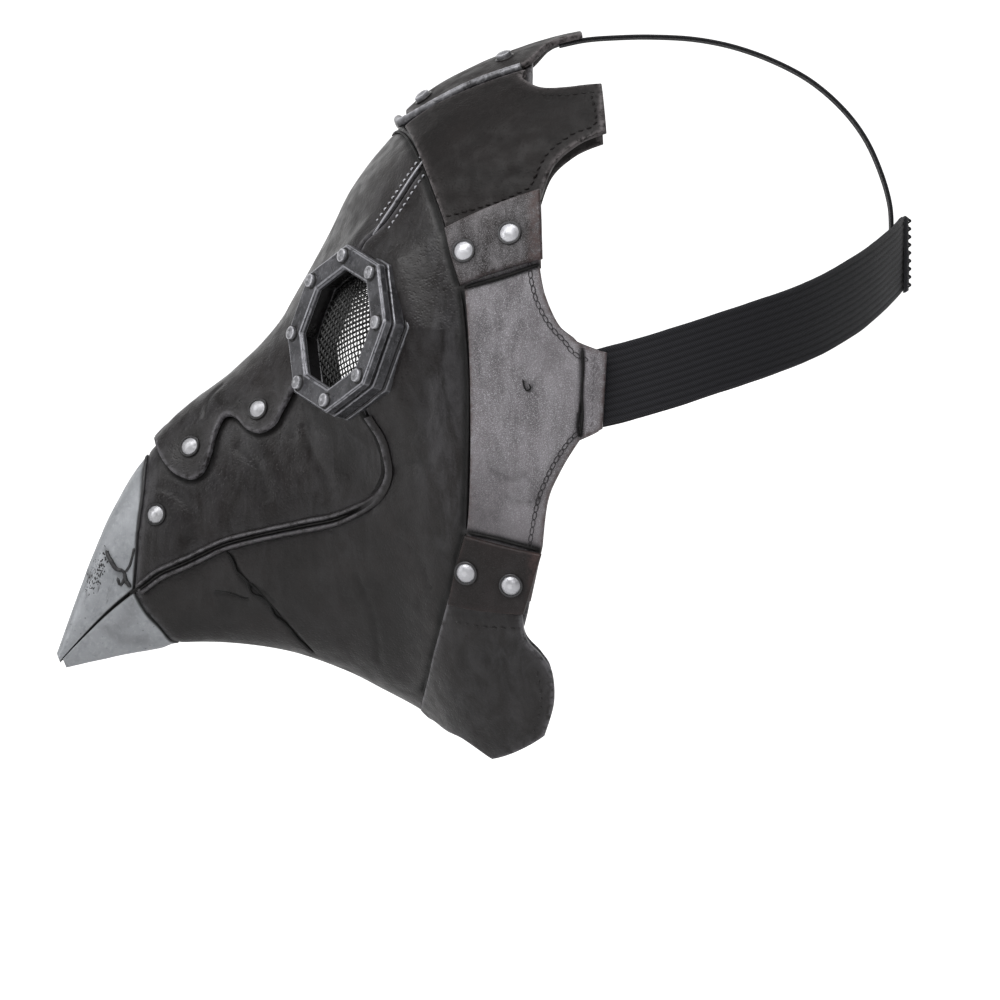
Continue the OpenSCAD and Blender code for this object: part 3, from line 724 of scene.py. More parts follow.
def spot(q, radius, depth, soil_and_shade):
    """A round dimple, as a very short line."""
    p = skin(np.asarray(q, float))
    return np.array([p, p + [0.01, 0, 0]]), radius, depth, soil_and_shade


def mirrored(feature):
    """A feature and its mirror image on the other side."""
    return [feature, (feature[0] * [1, -1, 1],) + feature[1:]]


def relief(*features):
    def shape(points):
        extra, dirt_and_shade = np.zeros(points.shape[:-1]), np.zeros(points.shape[:-1])
        for line, width, height, soil_and_shade in features:
            gap, place = line_distance(points, line)
            ends = smooth(place, 0, 0.06) * smooth(1 - place, 0, 0.06) if len(line) > 2 else 1.0
            extra += height * np.exp(-(gap / width) ** 2) * (0.25 + 0.75 * ends)
            dirt_and_shade = np.maximum(dirt_and_shade, soil_and_shade * np.exp(-(gap / width / 0.9) ** 2) * (0.2 + 0.8 * ends))
        return extra, dirt_and_shade
    return shape


# ---- Eye frames ---------------------------------------------------------------------------
EYE_CENTRE = np.array([-72.8, -48, 24.4])
EYE_TURN, EYE_TILT, EYE_ROLL = np.radians([34.75, 11, 19])
LEVEL, UPWARD = np.array([math.cos(EYE_TURN), math.sin(EYE_TURN), 0]), np.array([0, 0, 1])
FORWARD = -math.cos(EYE_TILT) * LEVEL + math.sin(EYE_TILT) * UPWARD
EYE_UP = math.sin(EYE_TILT) * LEVEL + math.cos(EYE_TILT) * UPWARD
ASIDE = np.cross(EYE_UP, FORWARD)
EYE_X = math.cos(EYE_ROLL) * ASIDE - math.sin(EYE_ROLL) * EYE_UP
EYE_Y = math.sin(EYE_ROLL) * ASIDE + math.cos(EYE_ROLL) * EYE_UP
EYE_AXES = np.stack([EYE_X, EYE_Y, FORWARD])
EYE_HOLE_R, COLLAR_R, COLLAR_SWELL = 30.0, 31, 3.4


def in_eye(points):
    return EYE_CENTRE + np.asarray(points, float) @ EYE_AXES


def eye_local(points):
    """Points in the axes of the eye frame on their own side of the face."""
    points = points.copy()
    points[..., 1] = -np.abs(points[..., 1])
    return (points - EYE_CENTRE) @ EYE_AXES.T


def octagon_size(x, y):
    """The corner radius of the octagon that passes through a point."""
    angles = np.radians(45 * np.arange(8))
    return np.max([x * math.cos(a) + y * math.sin(a) for a in angles], axis=0) / math.cos(math.radians(22.5))


def eye_hole(points):
    local = eye_local(points)
    beside_axis = octagon_size(local[..., 0], local[..., 1]) < EYE_HOLE_R
    return beside_axis & (np.abs(local[..., 2] + 8) < 22)


def collar(points):
    """The leather swells round the rear of each eye frame."""
    local = eye_local(points)
    gap = octagon_size(local[..., 0], local[..., 1]) - COLLAR_R
    near = np.exp(-(np.maximum(gap, 0) / 7.0) ** 2) * smooth(-np.abs(local[..., 2] + 8), -30, -20)
    return COLLAR_SWELL * near * smooth(points[..., 0], -88, -62)


def octagon_ring(sub):
    """Unit octagon outline with slightly blunted corners, and how near each point is to a corner."""
    turns = np.radians(22.5 + 45 * np.arange(9))
    corners = np.stack([np.cos(turns), np.sin(turns)], 1)
    shares = np.unique(np.concatenate([np.linspace(0.05, 0.95, sub), [0.015, 0.05, 0.95, 0.985]]))
    out, edge = [], []
    for a, b in zip(corners[:-1], corners[1:]):
        out.append(a * (1 - 0.006))
        edge.append(1.0)
        for f in shares:
            out.append(a + (b - a) * f)
            edge.append(0.35 if min(f, 1 - f) < 0.02 else 0.0)
    return np.array(out), np.array(edge)


def octagon_solid(parts, profile, sub, rough, seed, fade_width, shade_at=None):
    """A ring with an octagonal outline. The profile is a closed list of radius and height corners;
    each corner is bevelled and gets worn paint."""
    profile = np.asarray(profile, float)
    section, worn = [], []
    for k, here in enumerate(profile):
        to_b, to_a = profile[k - 1] - here, profile[(k + 1) % len(profile)] - here
        lb, la = np.linalg.norm(to_b), np.linalg.norm(to_a)
        bevel = min(0.28, lb / 4, la / 4)
        fade = min(fade_width, lb / 2.6, la / 2.6)
        for d, length, share in ((to_b, lb, fade), (to_b, lb, bevel), (to_a, la, bevel), (to_a, la, fade)):
            section.append(here + d / length * share)
            worn.append(1.0 if share == bevel else 0.0)
    outline, edge = octagon_ring(sub)
    rings, paint = [], []
    for (r, z), w in zip(section, worn):
        local = np.hstack([outline * r, np.full((len(outline), 1), z)])
        wobble = rumple(local, 7, seed) * rough
        local[:, :2] *= (1 + wobble / max(r, 1))[:, None]
        local[:, 2] += 0.5 * rumple(local, 5, seed + 7) * rough
        rings.append(in_eye(local))
        dirt_and_shade = np.full(len(outline), shade_at(r, z) if shade_at else 0.0)
        paint.append(np.stack([np.maximum(edge * 0.8, w), np.zeros(len(outline)), dirt_and_shade], 1))
    parts.add(np.vstack(rings), tube_faces(len(rings), len(outline), closed=True), np.vstack(paint))


def domed_profile(d, h, depth, shank, flat):
    """Radius and height pairs of a head: a dome, or a short cylinder with a low dome on it."""
    crown = 0.32 * h if flat else h
    r = (d * d / 4 + crown * crown) / (2 * crown)
    top = math.asin(min(1, (d / 2) / r))
    dome = [(r * math.sin(b), h - r + r * math.cos(b)) for b in np.linspace(0.02, 0.86, 7) * top]
    rim = [(d / 2 * 0.975, h - 0.88 * crown), (d / 2, h - 0.97 * crown), (d / 2, -0.12), (d / 2 * 0.93, -0.2)]
    return dome + rim + [(shank / 2, -0.2), (shank / 2, -depth)]


def fastener(parts, place, direction, d, h, depth, shank, seed, flat=False, ring_at=0.45, head_darkening=0.0):
    """A domed head with a shank, a little uneven, in a black ring pressed into the surface: painted contact
    shadow and dirt round its base.
    """
    z = unit(np.asarray(direction, float))
    x = unit(np.cross(z, [0.3, 0.2, 1.0]))
    axes = np.stack([x, np.cross(z, x), z])
    profile = domed_profile(d, h, depth, shank, flat)
    rings = np.array([[(r * math.cos(a), r * math.sin(a), height) for a in circle(28)]
                      for r, height in profile])
    wobble = 1 + 0.018 * rumple(rings * [1, 1, 2] + seed * 13.1, 2.6, seed)
    rings[..., :2] *= wobble[..., None]
    rings[..., 2] += 0.05 * rumple(rings + seed * 7.7, 1.8, seed + 3)
    points = place + rings.reshape(-1, 3) @ axes
    paint = []
    # Worn paint on the top of the dome and on its rim; the base of the head and the shank are darkened with
    # painted shade and dirt, the rest of the head by the given amount.
    for k in range(len(profile)):
        edge = 1.0 if k < 2 or 6 <= k <= 8 else 0.35
        paint.append(np.tile([edge, 0, 0.9 if k >= 9 else head_darkening], (rings.shape[1], 1)))
    parts.add(points, tube_faces(len(rings), rings.shape[1]), np.vstack(paint))
    # The black ring round the base: painted contact shadow and dirt.
    turn = circle(28)
    out = np.stack([np.cos(turn), np.sin(turn), 0 * turn], 1) @ axes
    centre = place + ring_at * z + (d / 2 + 0.28) * out
    parts.add(*loft(tube(centre, 0.42, out, 0.7 * z, 6), closed=True), paint=(0, 0, 1.0))


HOUSING_PROFILE = [(30.9, -17), (30.9, -9.4), (30.2, -9.0), (30.2, -8.3), (30.6, -7.9), (30.6, -4.0),
                   (29.2, -3.7), (28.6, -2.42), (24.0, -2.42), (24.0, -9.2), (20.2, -9.2), (20.2, -11.0),
                   (24.0, -11.0), (24.0, -17)]
BEZEL_PROFILE = [(29.9, -3.2), (29.9, -0.6), (29.2, 0.0), (22.0, 0.0), (21.0, -0.8), (21.0, -2.38),
                 (28.4, -2.4)]
BOLT_CIRCLE_R = 25.6
MESH_R, MESH_SPHERE_R, MESH_TOP, MESH_PITCH, WIRE_R = 21.6, 61.95, -4.9, 1.75, 0.27
MESH_TURN = math.radians(37)


# Painted shade: near black inside the frame, in its grooves and at its rear end; a light darkening elsewhere.
def housing_shade(r, z):
    grooves = (30.1 < r < 30.55 and z < -6.5) or (r < 30 and z < -3)
    return 0.95 if r < 24.5 or grooves or z < -16 else 0.3


def make_eye_frame(label, side):
    housing = Parts()
    octagon_solid(housing, HOUSING_PROFILE, 11, rough=0.3, seed=3, fade_width=0.55, shade_at=housing_shade)
    housing.make("eye_housing_look_" + label, EYE_METAL, "eye_metal", ["eye_housing_" + label], side,
                 crease=30)
    bezel = Parts()
    octagon_solid(bezel, BEZEL_PROFILE, 13, rough=0.14, seed=11, fade_width=0.45)
    bezel.make("eye_bezel_look_" + label, EYE_METAL, "eye_metal", ["eye_bezel_" + label], side, crease=24)
    bolts = Parts()
    for k in range(8):
        a = math.radians(22.5 + 45 * k)
        place = in_eye([BOLT_CIRCLE_R * math.cos(a), BOLT_CIRCLE_R * math.sin(a), 0.05])
        fastener(bolts, place, FORWARD, d=4.6, h=2.1, depth=7.4, shank=2.0, seed=k, flat=True, ring_at=-0.05)
    bolts.make("eye_bolts_look_" + label, BOLT, "bolt_metal", ["eye_bolts_" + label], side)


def make_eye_mesh(label, side):
    """Two sets of waved wires that cross on a shallow dome."""
    mesh = Parts()
    count = int(MESH_R / MESH_PITCH)
    for axis in (0, 1):
        for k in range(-count, count + 1):
            offset = k * MESH_PITCH
            half = math.sqrt(MESH_R**2 - offset**2)
            s = np.linspace(-half, half, int(round(4 * half / MESH_PITCH)) + 1)
            weave = 0.22 * np.cos(math.pi * (s / MESH_PITCH)) * (-1) ** (k + axis)
            a, b = (s, offset) if axis == 0 else (offset, s)
            x = a * math.cos(MESH_TURN) - b * math.sin(MESH_TURN)
            y = a * math.sin(MESH_TURN) + b * math.cos(MESH_TURN)
            z = MESH_TOP + np.sqrt(MESH_SPHERE_R**2 - x * x - y * y) - MESH_SPHERE_R + weave
            line = in_eye(np.stack([x, y, z], 1))
            ahead = unit(np.gradient(line, axis=0))
            aside = unit(np.cross(ahead, FORWARD))
            glint = np.clip(0.5 + rumple(line, 9, 21), 0, 1) * 0.6
            paint = np.repeat(glint[:, None] * [1, 0, 0], 5, axis=0)
            mesh.add(*loft(tube(line, WIRE_R, aside, np.cross(aside, ahead), 5)), paint=paint)
    mesh.make("eye_mesh_look_" + label, WIRE, "wire_mesh", ["eye_mesh_" + label], side, crease=60)


def make_eyes():
    for label, side in SIDES:
        make_eye_frame(label, side)
        make_eye_mesh(label, side)


# ---- Leather panels -----------------------------------------------------------------------
KEEPER_RIVETS = fan([[-26.8, 49.4], [-11.5, 55.4], [-25.9, -59.1], [-11.1, -63.3]])
BEAK_RIVETS = fan([[-123, -17], [-99, -4], [-136, -40]])
CROWN_BOLTS = np.array([[10.95, 10], [12.1, 11.5]])
RIVET_SUNK = 0.45
GROOVE = skin(along(MOUTH, np.linspace(0, 1, 60)))
NOSE_SHADOW = skin(along(fan(NOSE_EDGE), np.linspace(0, 1, 90)))
UPPER_JOIN_LINE = skin(along(UPPER_JOIN, np.linspace(0, 1, 30)))
LOWER_JOIN_LINE = skin(along(LOWER_JOIN, np.linspace(0, 1, 30)))
BASE_LO = -LEATHER_T


def piping_line(t):
    """The angle of the crown piping at a station."""
    return 20.5 - 6 * np.clip(11.4 - t, 0, 1) ** 2 + 2 * np.clip(t - 11.5, 0, 1)


def patchy(level, spread, size, seed):
    return lambda p: level + spread * rumple(p, size, seed)


def make_forehead():
    edge = [np.vstack([fan(NOSE_EDGE), fan([[-73, 24]]), BROW, [[TOP_OPEN, 45]]])]
    half_width = 66.0
    q = across_middle(edge, half_width, 1 - 2 / half_width, 109)
    sink = (1 - np.cos(np.pi * np.clip((q[..., 0] - 6.5) / 2.1, 0, 1))) / 2
    low = OVERLAY_LO - (OVERLAY_LO + LEATHER_T) * sink
    features = []
    # The dimples round the beak rivets are darkened with painted shade and dirt; the last line, beside the
    # temple panel's front edge, is painted shadow.
    for feature in (mark(BROW_SEAM, 0.9, 0.9, 0.0),
                    spot(BEAK_RIVETS[0], 4.6, -0.75, 0.75), spot(BEAK_RIVETS[1], 4.6, -0.75, 0.75),
                    mark([[-118, -8], [-116, -1], [-111, 4]], 1.0, -0.35, 0.4),
                    mark([[-134, -14], [-128, -6], [-121, 2]], 0.9, -0.3, 0.35),
                    mark([[-54, 101], [-43.4, 79], [-35.2, 56.3]], 1.3, -0.4, 1.1)):
        features += mirrored(feature)
    panel("forehead_nose_look", q, low, FACE_LEATHER, "face_leather", "forehead_nose_panel", 1.0,
          relief(*features), lambda p: 0.42 + 0.25 * rumple(p, 22, 3) + 0.1 * smooth(-p[..., 0], 60, 100),
          eye_hole)


def make_cheek(label, side):
    bottom = np.vstack([UPPER_JOIN[3], beside(MOUTH[1:7], -SEAM_STEP)])
    top = np.array([UPPER_JOIN[0], [5, RIDGE_GAP], [6.7, RIDGE_GAP]])
    behind_eye = fan([[-80, 20], [-73, 22], [-66, 9], [-60.9, -2.6], [-58.7, -9.2], [-55.9, -19]])
    rear = np.vstack([top[2], behind_eye, bottom[6]])
    q = coons([top], [bottom], [UPPER_JOIN], [rear], even([top], [bottom]), even([UPPER_JOIN], [rear]))
    # Painted shade along the forehead panel's nose edge and in the mouth groove; darkened along the join with
    # the upper tip; the rivet dimple is darkened with painted shade and dirt.
    shape = relief((NOSE_SHADOW, 1.6, -0.3, 0.95), (GROOVE, 2.6, -0.5, 0.8),
                   (UPPER_JOIN_LINE, 1.3, -0.5, 0.6), spot(BEAK_RIVETS[2], 4.4, -0.75, 0.75),
                   mark([[-136, -30], [-127, -34], [-120, -43]], 1.5, -0.4, 0.2),
                   mark([[-108, -16], [-100, -24], [-96, -36]], 2.2, -0.5, 0.15),
                   mark([[-84, -8], [-80, -20], [-74, -30]], 2.0, -0.45, 0.15),
                   mark([[-90, -6], [-87, -14]], 1.2, -0.35, 0.3))

    def light(p):
        return (0.62 + 0.35 * rumple(p, 15, 8) - 0.25 * smooth(-p[..., 2], 25, 50)
                + 0.5 * smooth(-p[..., 0], 128, 141))

    panel("beak_cheek_look_" + label, q, BASE_LO, FACE_LEATHER, "face_leather", "beak_cheek_" + label, side,
          shape, light, eye_hole)


# Painted shadow: the dark lines on the jaw panel in front of the overlays.
OVERLAY_SHADOWS = [[[-29.6, 38.2], [-27.4, 0], [-28.4, -46]], [[-34.6, -68.4], [-39, -87], [-43.2, -102]],
                   [[-43.4, 79], [-35.2, 56.3]], [[-35.2, 57.2], [-33.2, 48], [-30.4, 38.4]],
                   [[-28.4, -46], [-31.4, -58], [-33.8, -69.8]]]


def make_jaw(label, side):
    """The jaw and the side of the face."""
    inner = [np.vstack([[TOP_OPEN, 45 + SEAM_STEP], beside(BROW[::-1], SEAM_STEP), fan([[-69, 25]]),
                        MOUTH[9:5:-1], beside(MOUTH[5:0:-1], SEAM_STEP), LOWER_JOIN[0]])]
    face_side = fan([[-3, 84], [-5, 60], [-8, 35], [-9, 5], [-9, -25], [-6, -50], [-6, -72], [-13, -90]])
    rim = np.vstack([[TOP_OPEN, 52], face_side, [[10.8, 141], [9.6, 155], [CHIN_OPEN, CHIN_GAP]]])
    chin = np.vstack([[CHIN_OPEN, CHIN_GAP], [7, CHIN_GAP], [5, CHIN_GAP], LOWER_JOIN[3]])
    front = [np.array([inner[0][0], rim[0]])]
    middle = [np.array([inner[0][7], rim[6]])]
    q = coons(inner, [rim, chin], front, [LOWER_JOIN], even(inner, [rim, chin]), even(middle, middle))
    # Painted shade in the mouth groove, darkening along the join with the lower tip, dark cracks, and painted
    # shadow in front of the overlays.
    shape = relief((GROOVE, 2.6, -0.5, 0.8), (LOWER_JOIN_LINE, 1.3, -0.5, 0.6),
                   mark(BROW_SEAM, 0.9, 0.9, 0.0),
                   mark([[-110, -53], [-105, -63], [-98, -70], [-89, -80], [-80.5, -89]], 1.0, -0.7, 0.85),
                   mark([[-115.5, -67.5], [-109, -68], [-103, -70]], 0.8, -0.45, 0.6),
                   mark([[-103, -64], [-98, -67], [-94, -71]], 0.8, -0.4, 0.55),
                   mark([[-66, -60], [-60, -75], [-58, -92]], 1.6, -0.4, 0.2),
                   mark([[-48, 20], [-42, 8], [-40, -8]], 2.4, -0.4, 0.1),
                   mark([[-52, -48], [-44, -56], [-40, -66]], 1.6, -0.5, 0.25),
                   mark([[-54, -26], [-46, -22], [-38, -24]], 1.3, -0.4, 0.3),
                   *[mark(route, 1.4, -0.5, 1.3) for route in OVERLAY_SHADOWS])

    # The dry-brush mask fades towards the bottom; the lighter patch just in front of the side panel is partly
    # dry brush and partly a painted highlight.
    def light(p):
        return (0.3 + 0.3 * rumple(p, 17, 4) + 0.8 * smooth(p[..., 0], -50, -32) * smooth(p[..., 2], -70, -30)
                - 0.2 * smooth(-p[..., 2], 20, 90))

    panel("jaw_look_" + label, q, BASE_LO, FACE_LEATHER, "face_leather", "jaw_panel_" + label, side,
          shape, light, eye_hole)


def overlay(look, node, borders, material, slot, side, shape, light, low=OVERLAY_LO, us=None, **wear_and_highlight):
    """A second layer of leather between its top, bottom, front and rear borders."""
    top, bottom, front, rear = borders
    q = coons(top, bottom, front, rear, even(top, bottom) if us is None else us, even(front, rear))
    panel(look, q, low, material, slot, node, side, shape, light, **wear_and_highlight)


def make_temple(label, side):
    beside_piping = np.array([[t, piping_line(t) + 1.75] for t in (11.5, 12.35)])
    top = [np.vstack([[10.55, 19.5], beside_piping]),
           np.vstack([beside_piping[1], fan([[-7.5, 110], [-1.5, 106.5], [8, 106.5], [19.5, 107.6]])])]
    bottom = runs([[-33, 56.3], [-17, 62.2], [-1.5, 68]])
    front = [np.vstack([[10.55, 19.5], fan([[-41, 79], [-33, 56.3]])])]
    rear = runs([[19.5, 107.6], [21, 91]], [[21, 91], [11, 86.7], [3, 79.5], [-1.5, 68]])
    overlay("temple_look_" + label, "temple_panel_" + label, (top, bottom, front, rear), CROWN_LEATHER,
            "crown_leather", side,
            relief(mark([[-30, 84], [-20, 88], [-8, 87]], 3.0, -0.35, 0.1),
                   mark([[-22, 72], [-12, 76], [-2, 75]], 2.0, -0.3, 0.15)),
            patchy(0.3, 0.3, 14, 6), edge_wear=1.0, worn=lambda p: 0.9 * smooth(p[..., 0], 17.8, 19.2))


def make_side_panel(label, side):
    """The side panel with its strap tab."""
    top, bottom = runs([[-31, 54.5], [-2, 66]]), runs([[-31.4, -66.5], [-5, -69.5]])
    front = runs([[-31, 54.5], [-27.5, 38.5], [-25.5, 0], [-26.5, -45.5], [-31.4, -66.5]])
    rear = runs([[-2, 66], [-2, 45]], [[-2, 45], [0, 35], [5, 24.5], [12, 18]], [[12, 18], [21, 15.5]],
                [[21, 15.5], [19.5, -10.5]], [[19.5, -10.5], [12, -14]],
                [[12, -14], [5.5, -24.5], [1, -35], [-1, -51]], [[-1, -51], [-5, -69.5]])
    middle = runs([[-25.5, 2], [21, 2]])
    # The two lines along the keepers' edges are darkened as painted shadow.
    overlay("side_look_" + label, "side_panel_" + label, (top, bottom, front, rear), SIDE_LEATHER,
            "side_leather", side,
            relief(mark([[12.6, 17.6], [12.4, 2], [12.0, -13.8]], 0.75, -1.1, 1.6),
                   mark([[11.2, -5], [10.8, -9], [12.0, -13.2]], 0.6, -0.6, 0.9),
                   mark([[-28.4, 37.4], [-15, 41], [-0.6, 45.8]], 1.3, -0.6, 1.3),
                   mark([[-26.8, -45.4], [-15, -48.2], [-1, -51.9]], 1.3, -0.6, 1.3),
                   mark([[-7, 6], [-5.6, 2.4], [-3.4, 5.6]], 0.8, -0.5, 0.6),
                   mark([[-20, 20], [-14, 8], [-13, -8]], 3.0, -0.45, 0.1),
                   mark([[-19, -24], [-12, -28], [-6, -26]], 1.4, -0.5, 0.25),
                   mark([[-14, -33], [-7, -36], [-2, -34]], 1.2, -0.4, 0.2)),
            lambda p: 0.75 + 0.3 * rumple(p, 13, 12) - 0.45 * smooth(-p[..., 2], 5, 55),
            us=even(middle, middle), edge_wear=1.0)


# The riveted keepers: name, top, bottom, front and rear borders, rivets and silver level.
KEEPERS = (("upper_keeper", [[-33.3, 57.2], [-1.2, 70.4]], [[-28.2, 38.2], [-0.6, 47]],
            [[-33.3, 57.2], [-31.2, 48], [-28.2, 38.2]], [[-1.2, 70.4], [-0.6, 47]], KEEPER_RIVETS[:2], 0.85),
           ("lower_keeper", [[-26.5, -46.5], [-1, -53]], [[-31.8, -69.8], [-7, -73.3]],
            [[-26.5, -46.5], [-29.5, -58], [-31.8, -69.8]], [[-1, -53], [-7, -73.3]],
            KEEPER_RIVETS[2:], 0.02))


def make_keepers(label, side):
    for name, top, bottom, front, rear, rivets, level in KEEPERS:
        # The dimples round the rivets are darkened with painted shade and dirt.
        overlay(name + "_look_" + label, name + "_" + label, [[fan(b)] for b in (top, bottom, front, rear)],
                KEEPER_LEATHER, "keeper_leather", side, relief(*[spot(r, 4.6, -0.7, 0.8) for r in rivets]),
                patchy(level, 0.2, 9, 31), low=KEEPER_LO, edge_wear=0.3,
                worn=lambda p: 0.9 * smooth(p[..., 0], -6.5, -3.5))


def make_jaw_flap(label, side):
    top = runs([[-32.6, -68.4], [-8, -71.6]])
    bottom = runs([[-41.5, -103.5], [-42, -106.5], [-39, -109.5]],
                  [[-39, -109.5], [-28, -116.2], [-17.5, -123.5]],
                  [[-17.5, -123.5], [-6, -119.2], [0, -115.5]])
    front = runs([[-32.6, -68.4], [-37, -87], [-41.5, -103.5]])
    rear = runs([[-8, -71.6], [-6.5, -82], [-1, -88.5], [2.5, -94.5], [3, -105], [0, -115.5]])
    overlay("jaw_flap_look_" + label, "jaw_flap_" + label, (top, bottom, front, rear), FACE_LEATHER,
            "keeper_leather", side, relief(mark([[-30, -84], [-20, -88], [-8, -86]], 2.6, -0.4, 0.1)),
            patchy(0.55, 0.35, 12, 16), edge_wear=1.0)


def make_welt(label, side):
    """The mouth's folded edges: two ridges with a gap between them, painted black as shade, that close to one
    ridge behind; the ridge tops are worn and painted as highlights.
    """
    ends = fan([[-141.5, -66], [-59, -6.2]])
    q = arc_points(np.vstack([ends[0], MOUTH[1:9], ends[1]]), 0.9)
    p, ahead, aside, up = frame_along(q, 0.0)
    p = p + collar(p)[:, None] * up
    apart = 1 - smooth(np.linspace(0, 1, len(q)), 0.6, 0.82)[:, None]
    half_rows = np.array([1, 0.92, 0.75, 0.55, 0.38, 0.22])
    rows = np.concatenate([-half_rows, [0], half_rows[::-1]])
    double = np.array([0.1, 0.75, 1.5, 1.7, 1.35, 0.1, -0.5, 0.1, 1.35, 1.7, 1.5, 0.75, 0.1])
    single = np.array([0.1, 0.2, 0.45, 0.8, 1.25, 1.6, 1.75, 1.6, 1.25, 0.8, 0.45, 0.2, 0.1])
    height = (apart * double + (1 - apart) * single) * (1 + 0.12 * rumple(p, 6, 4))[:, None]
    width = (2.5 + 0.25 * rumple(p, 9, 2))[:, None] * (1 - 0.25 * (1 - apart))
    outer = p[:, None] + aside[:, None] * (rows * width)[..., None] + up[:, None] * height[..., None]
    under = (p - up * 0.25)[:, None] + aside[:, None] * (np.array([0.9, 0.3, -0.3, -0.9]) * width)[..., None]
    rings = np.concatenate([outer, under], 1)
    # The gap between the two ridges is painted black as shade; the ridge tops are worn and painted as
    # highlights.
    groove_shade = apart * (np.abs(rows) < 0.3)
    wear_and_highlight = np.clip(height / 1.7, 0, 1) ** 3 * (1 - groove_shade)
    paint = np.zeros(rings.shape)
    paint[:, :len(rows)] = np.stack([wear_and_highlight * 0.8, np.full(wear_and_highlight.shape, 0.4), groove_shade], -1)
    parts = Parts()
    parts.add(*loft(rings), paint=paint.reshape(-1, 3))
    parts.make("mouth_welt_look_" + label, FACE_LEATHER, "face_leather", ["mouth_welt_" + label], side,
               crease=60)


def make_side_pieces():
    makers = (make_cheek, make_jaw, make_temple, make_side_panel, make_keepers, make_jaw_flap, make_welt)
    for label, side in SIDES:
        for make in makers:
            make(label, side)


def make_crown():
    beside_piping = [[t, piping_line(t) - 1.75] for t in (10.85, 11.3, 11.8, 12.35)]
    edge = [np.array([[10.6, 9.5]] + beside_piping + [[12.62, 11], [12.75, 9], [13.05, 8.6]])]
    # The dimples round the bolts are darkened with painted shade and dirt.
    dimples = [spot([t, s * a], 3.6, -0.4, 0.6) for t, a in CROWN_BOLTS for s in (-1, 1)]
    panel("crown_look", across_middle(edge, 22.0, 0.9, 40), OVERLAY_LO, CROWN_LEATHER, "crown_leather",
          "crown_panel", 1.0, relief(*dimples), patchy(0.55, 0.3, 12, 14), edge_wear=1.0)


def make_crown_piping():
    """A covered cord with a faint twist, round three sides of the crown panel, with a painted highlight along
    its top and painted shade along its underside.
    """
    cord_r, pitch, around = 1.7, 0.55, 14
    left = [[t, piping_line(t)] for t in np.arange(12.3, 10.8, -0.36)] + [[10.54, 14], [10.45, 8.5]]
    q = arc_points(np.array(left + [[t, -a] for t, a in left[::-1]]), pitch)
    p, ahead, aside, up = frame_along(q, cord_r + OVERLAY_LO)
    twist = circle(around) * 2 + np.arange(len(q))[:, None] * pitch * 2.4
    radius = cord_r * (1 - 0.045 * (0.5 + 0.5 * np.cos(twist)) + 0.03 * rumple(p, 3, 1)[:, None])
    rings = tube(p, radius[..., None], aside, up, around)
    upward = np.sin(circle(around))
    paint = np.zeros(rings.shape)
    # Painted highlight along the upper side of the cord and painted shade along its underside.
    paint[..., 0] = np.clip(upward, 0, 1) ** 4 * np.clip(0.65 + 0.9 * rumple(p, 1.6, 41), 0, 1)[:, None]
    paint[..., 2] = np.where(upward < -0.3, 0.7, 0.0)
    parts = Parts()
    parts.add(*loft(rings), paint=paint.reshape(-1, 3))
    parts.make("crown_piping_look", PIPING, "piping", ["crown_piping"], crease=60)


# ---- Silver beak tips ---------------------------------------------------------------------
TIP_LENGTH, TIP_UNDER_POINTS = 45.0, 9
TIP_MARKS = [mark([[-153.6, -52.5], [-150, -58.9], [-144.6, -65.6]], 1.1, -0.3, 0.5),
             mark([[-150, -80], [-146, -76], [-144, -71]], 2.6, -0.15, 0.25),
             mark([[-140, -84], [-147, -84], [-153, -80]], 2.2, -0.15, 0.3)]


def tip_damage(base):
    """Depth of the cracks and pits of a tip, and the soil in them."""
    cut, soil_and_shade = np.zeros(base.shape[:-1]), np.zeros(base.shape[:-1])
    for line, width, height, dirt_and_shade in TIP_MARKS:
        for points in (base, base * [1, -1, 1]):
            near = np.exp(-(line_distance(points, line)[0] / width) ** 2)
            cut += height * near
            soil_and_shade = np.maximum(soil_and_shade, dirt_and_shade * near)
    cluster = np.exp(-(np.linalg.norm(np.abs(base) - [158.5, 5, 64], axis=-1) / 7.5) ** 2)
    scattered = 0.4 * smooth(rumple(base, 12, 19), 0.2, 0.6)
    pits = np.clip(rumple(base, 1.5, 17, 2) - 0.3, 0, 1) * np.clip(cluster + scattered, 0, 1)
    cut += 0.12 * rumple(base, 7, 23) - 1.6 * pits
    return cut, np.maximum(soil_and_shade, np.clip(3.0 * pits, 0, 1))


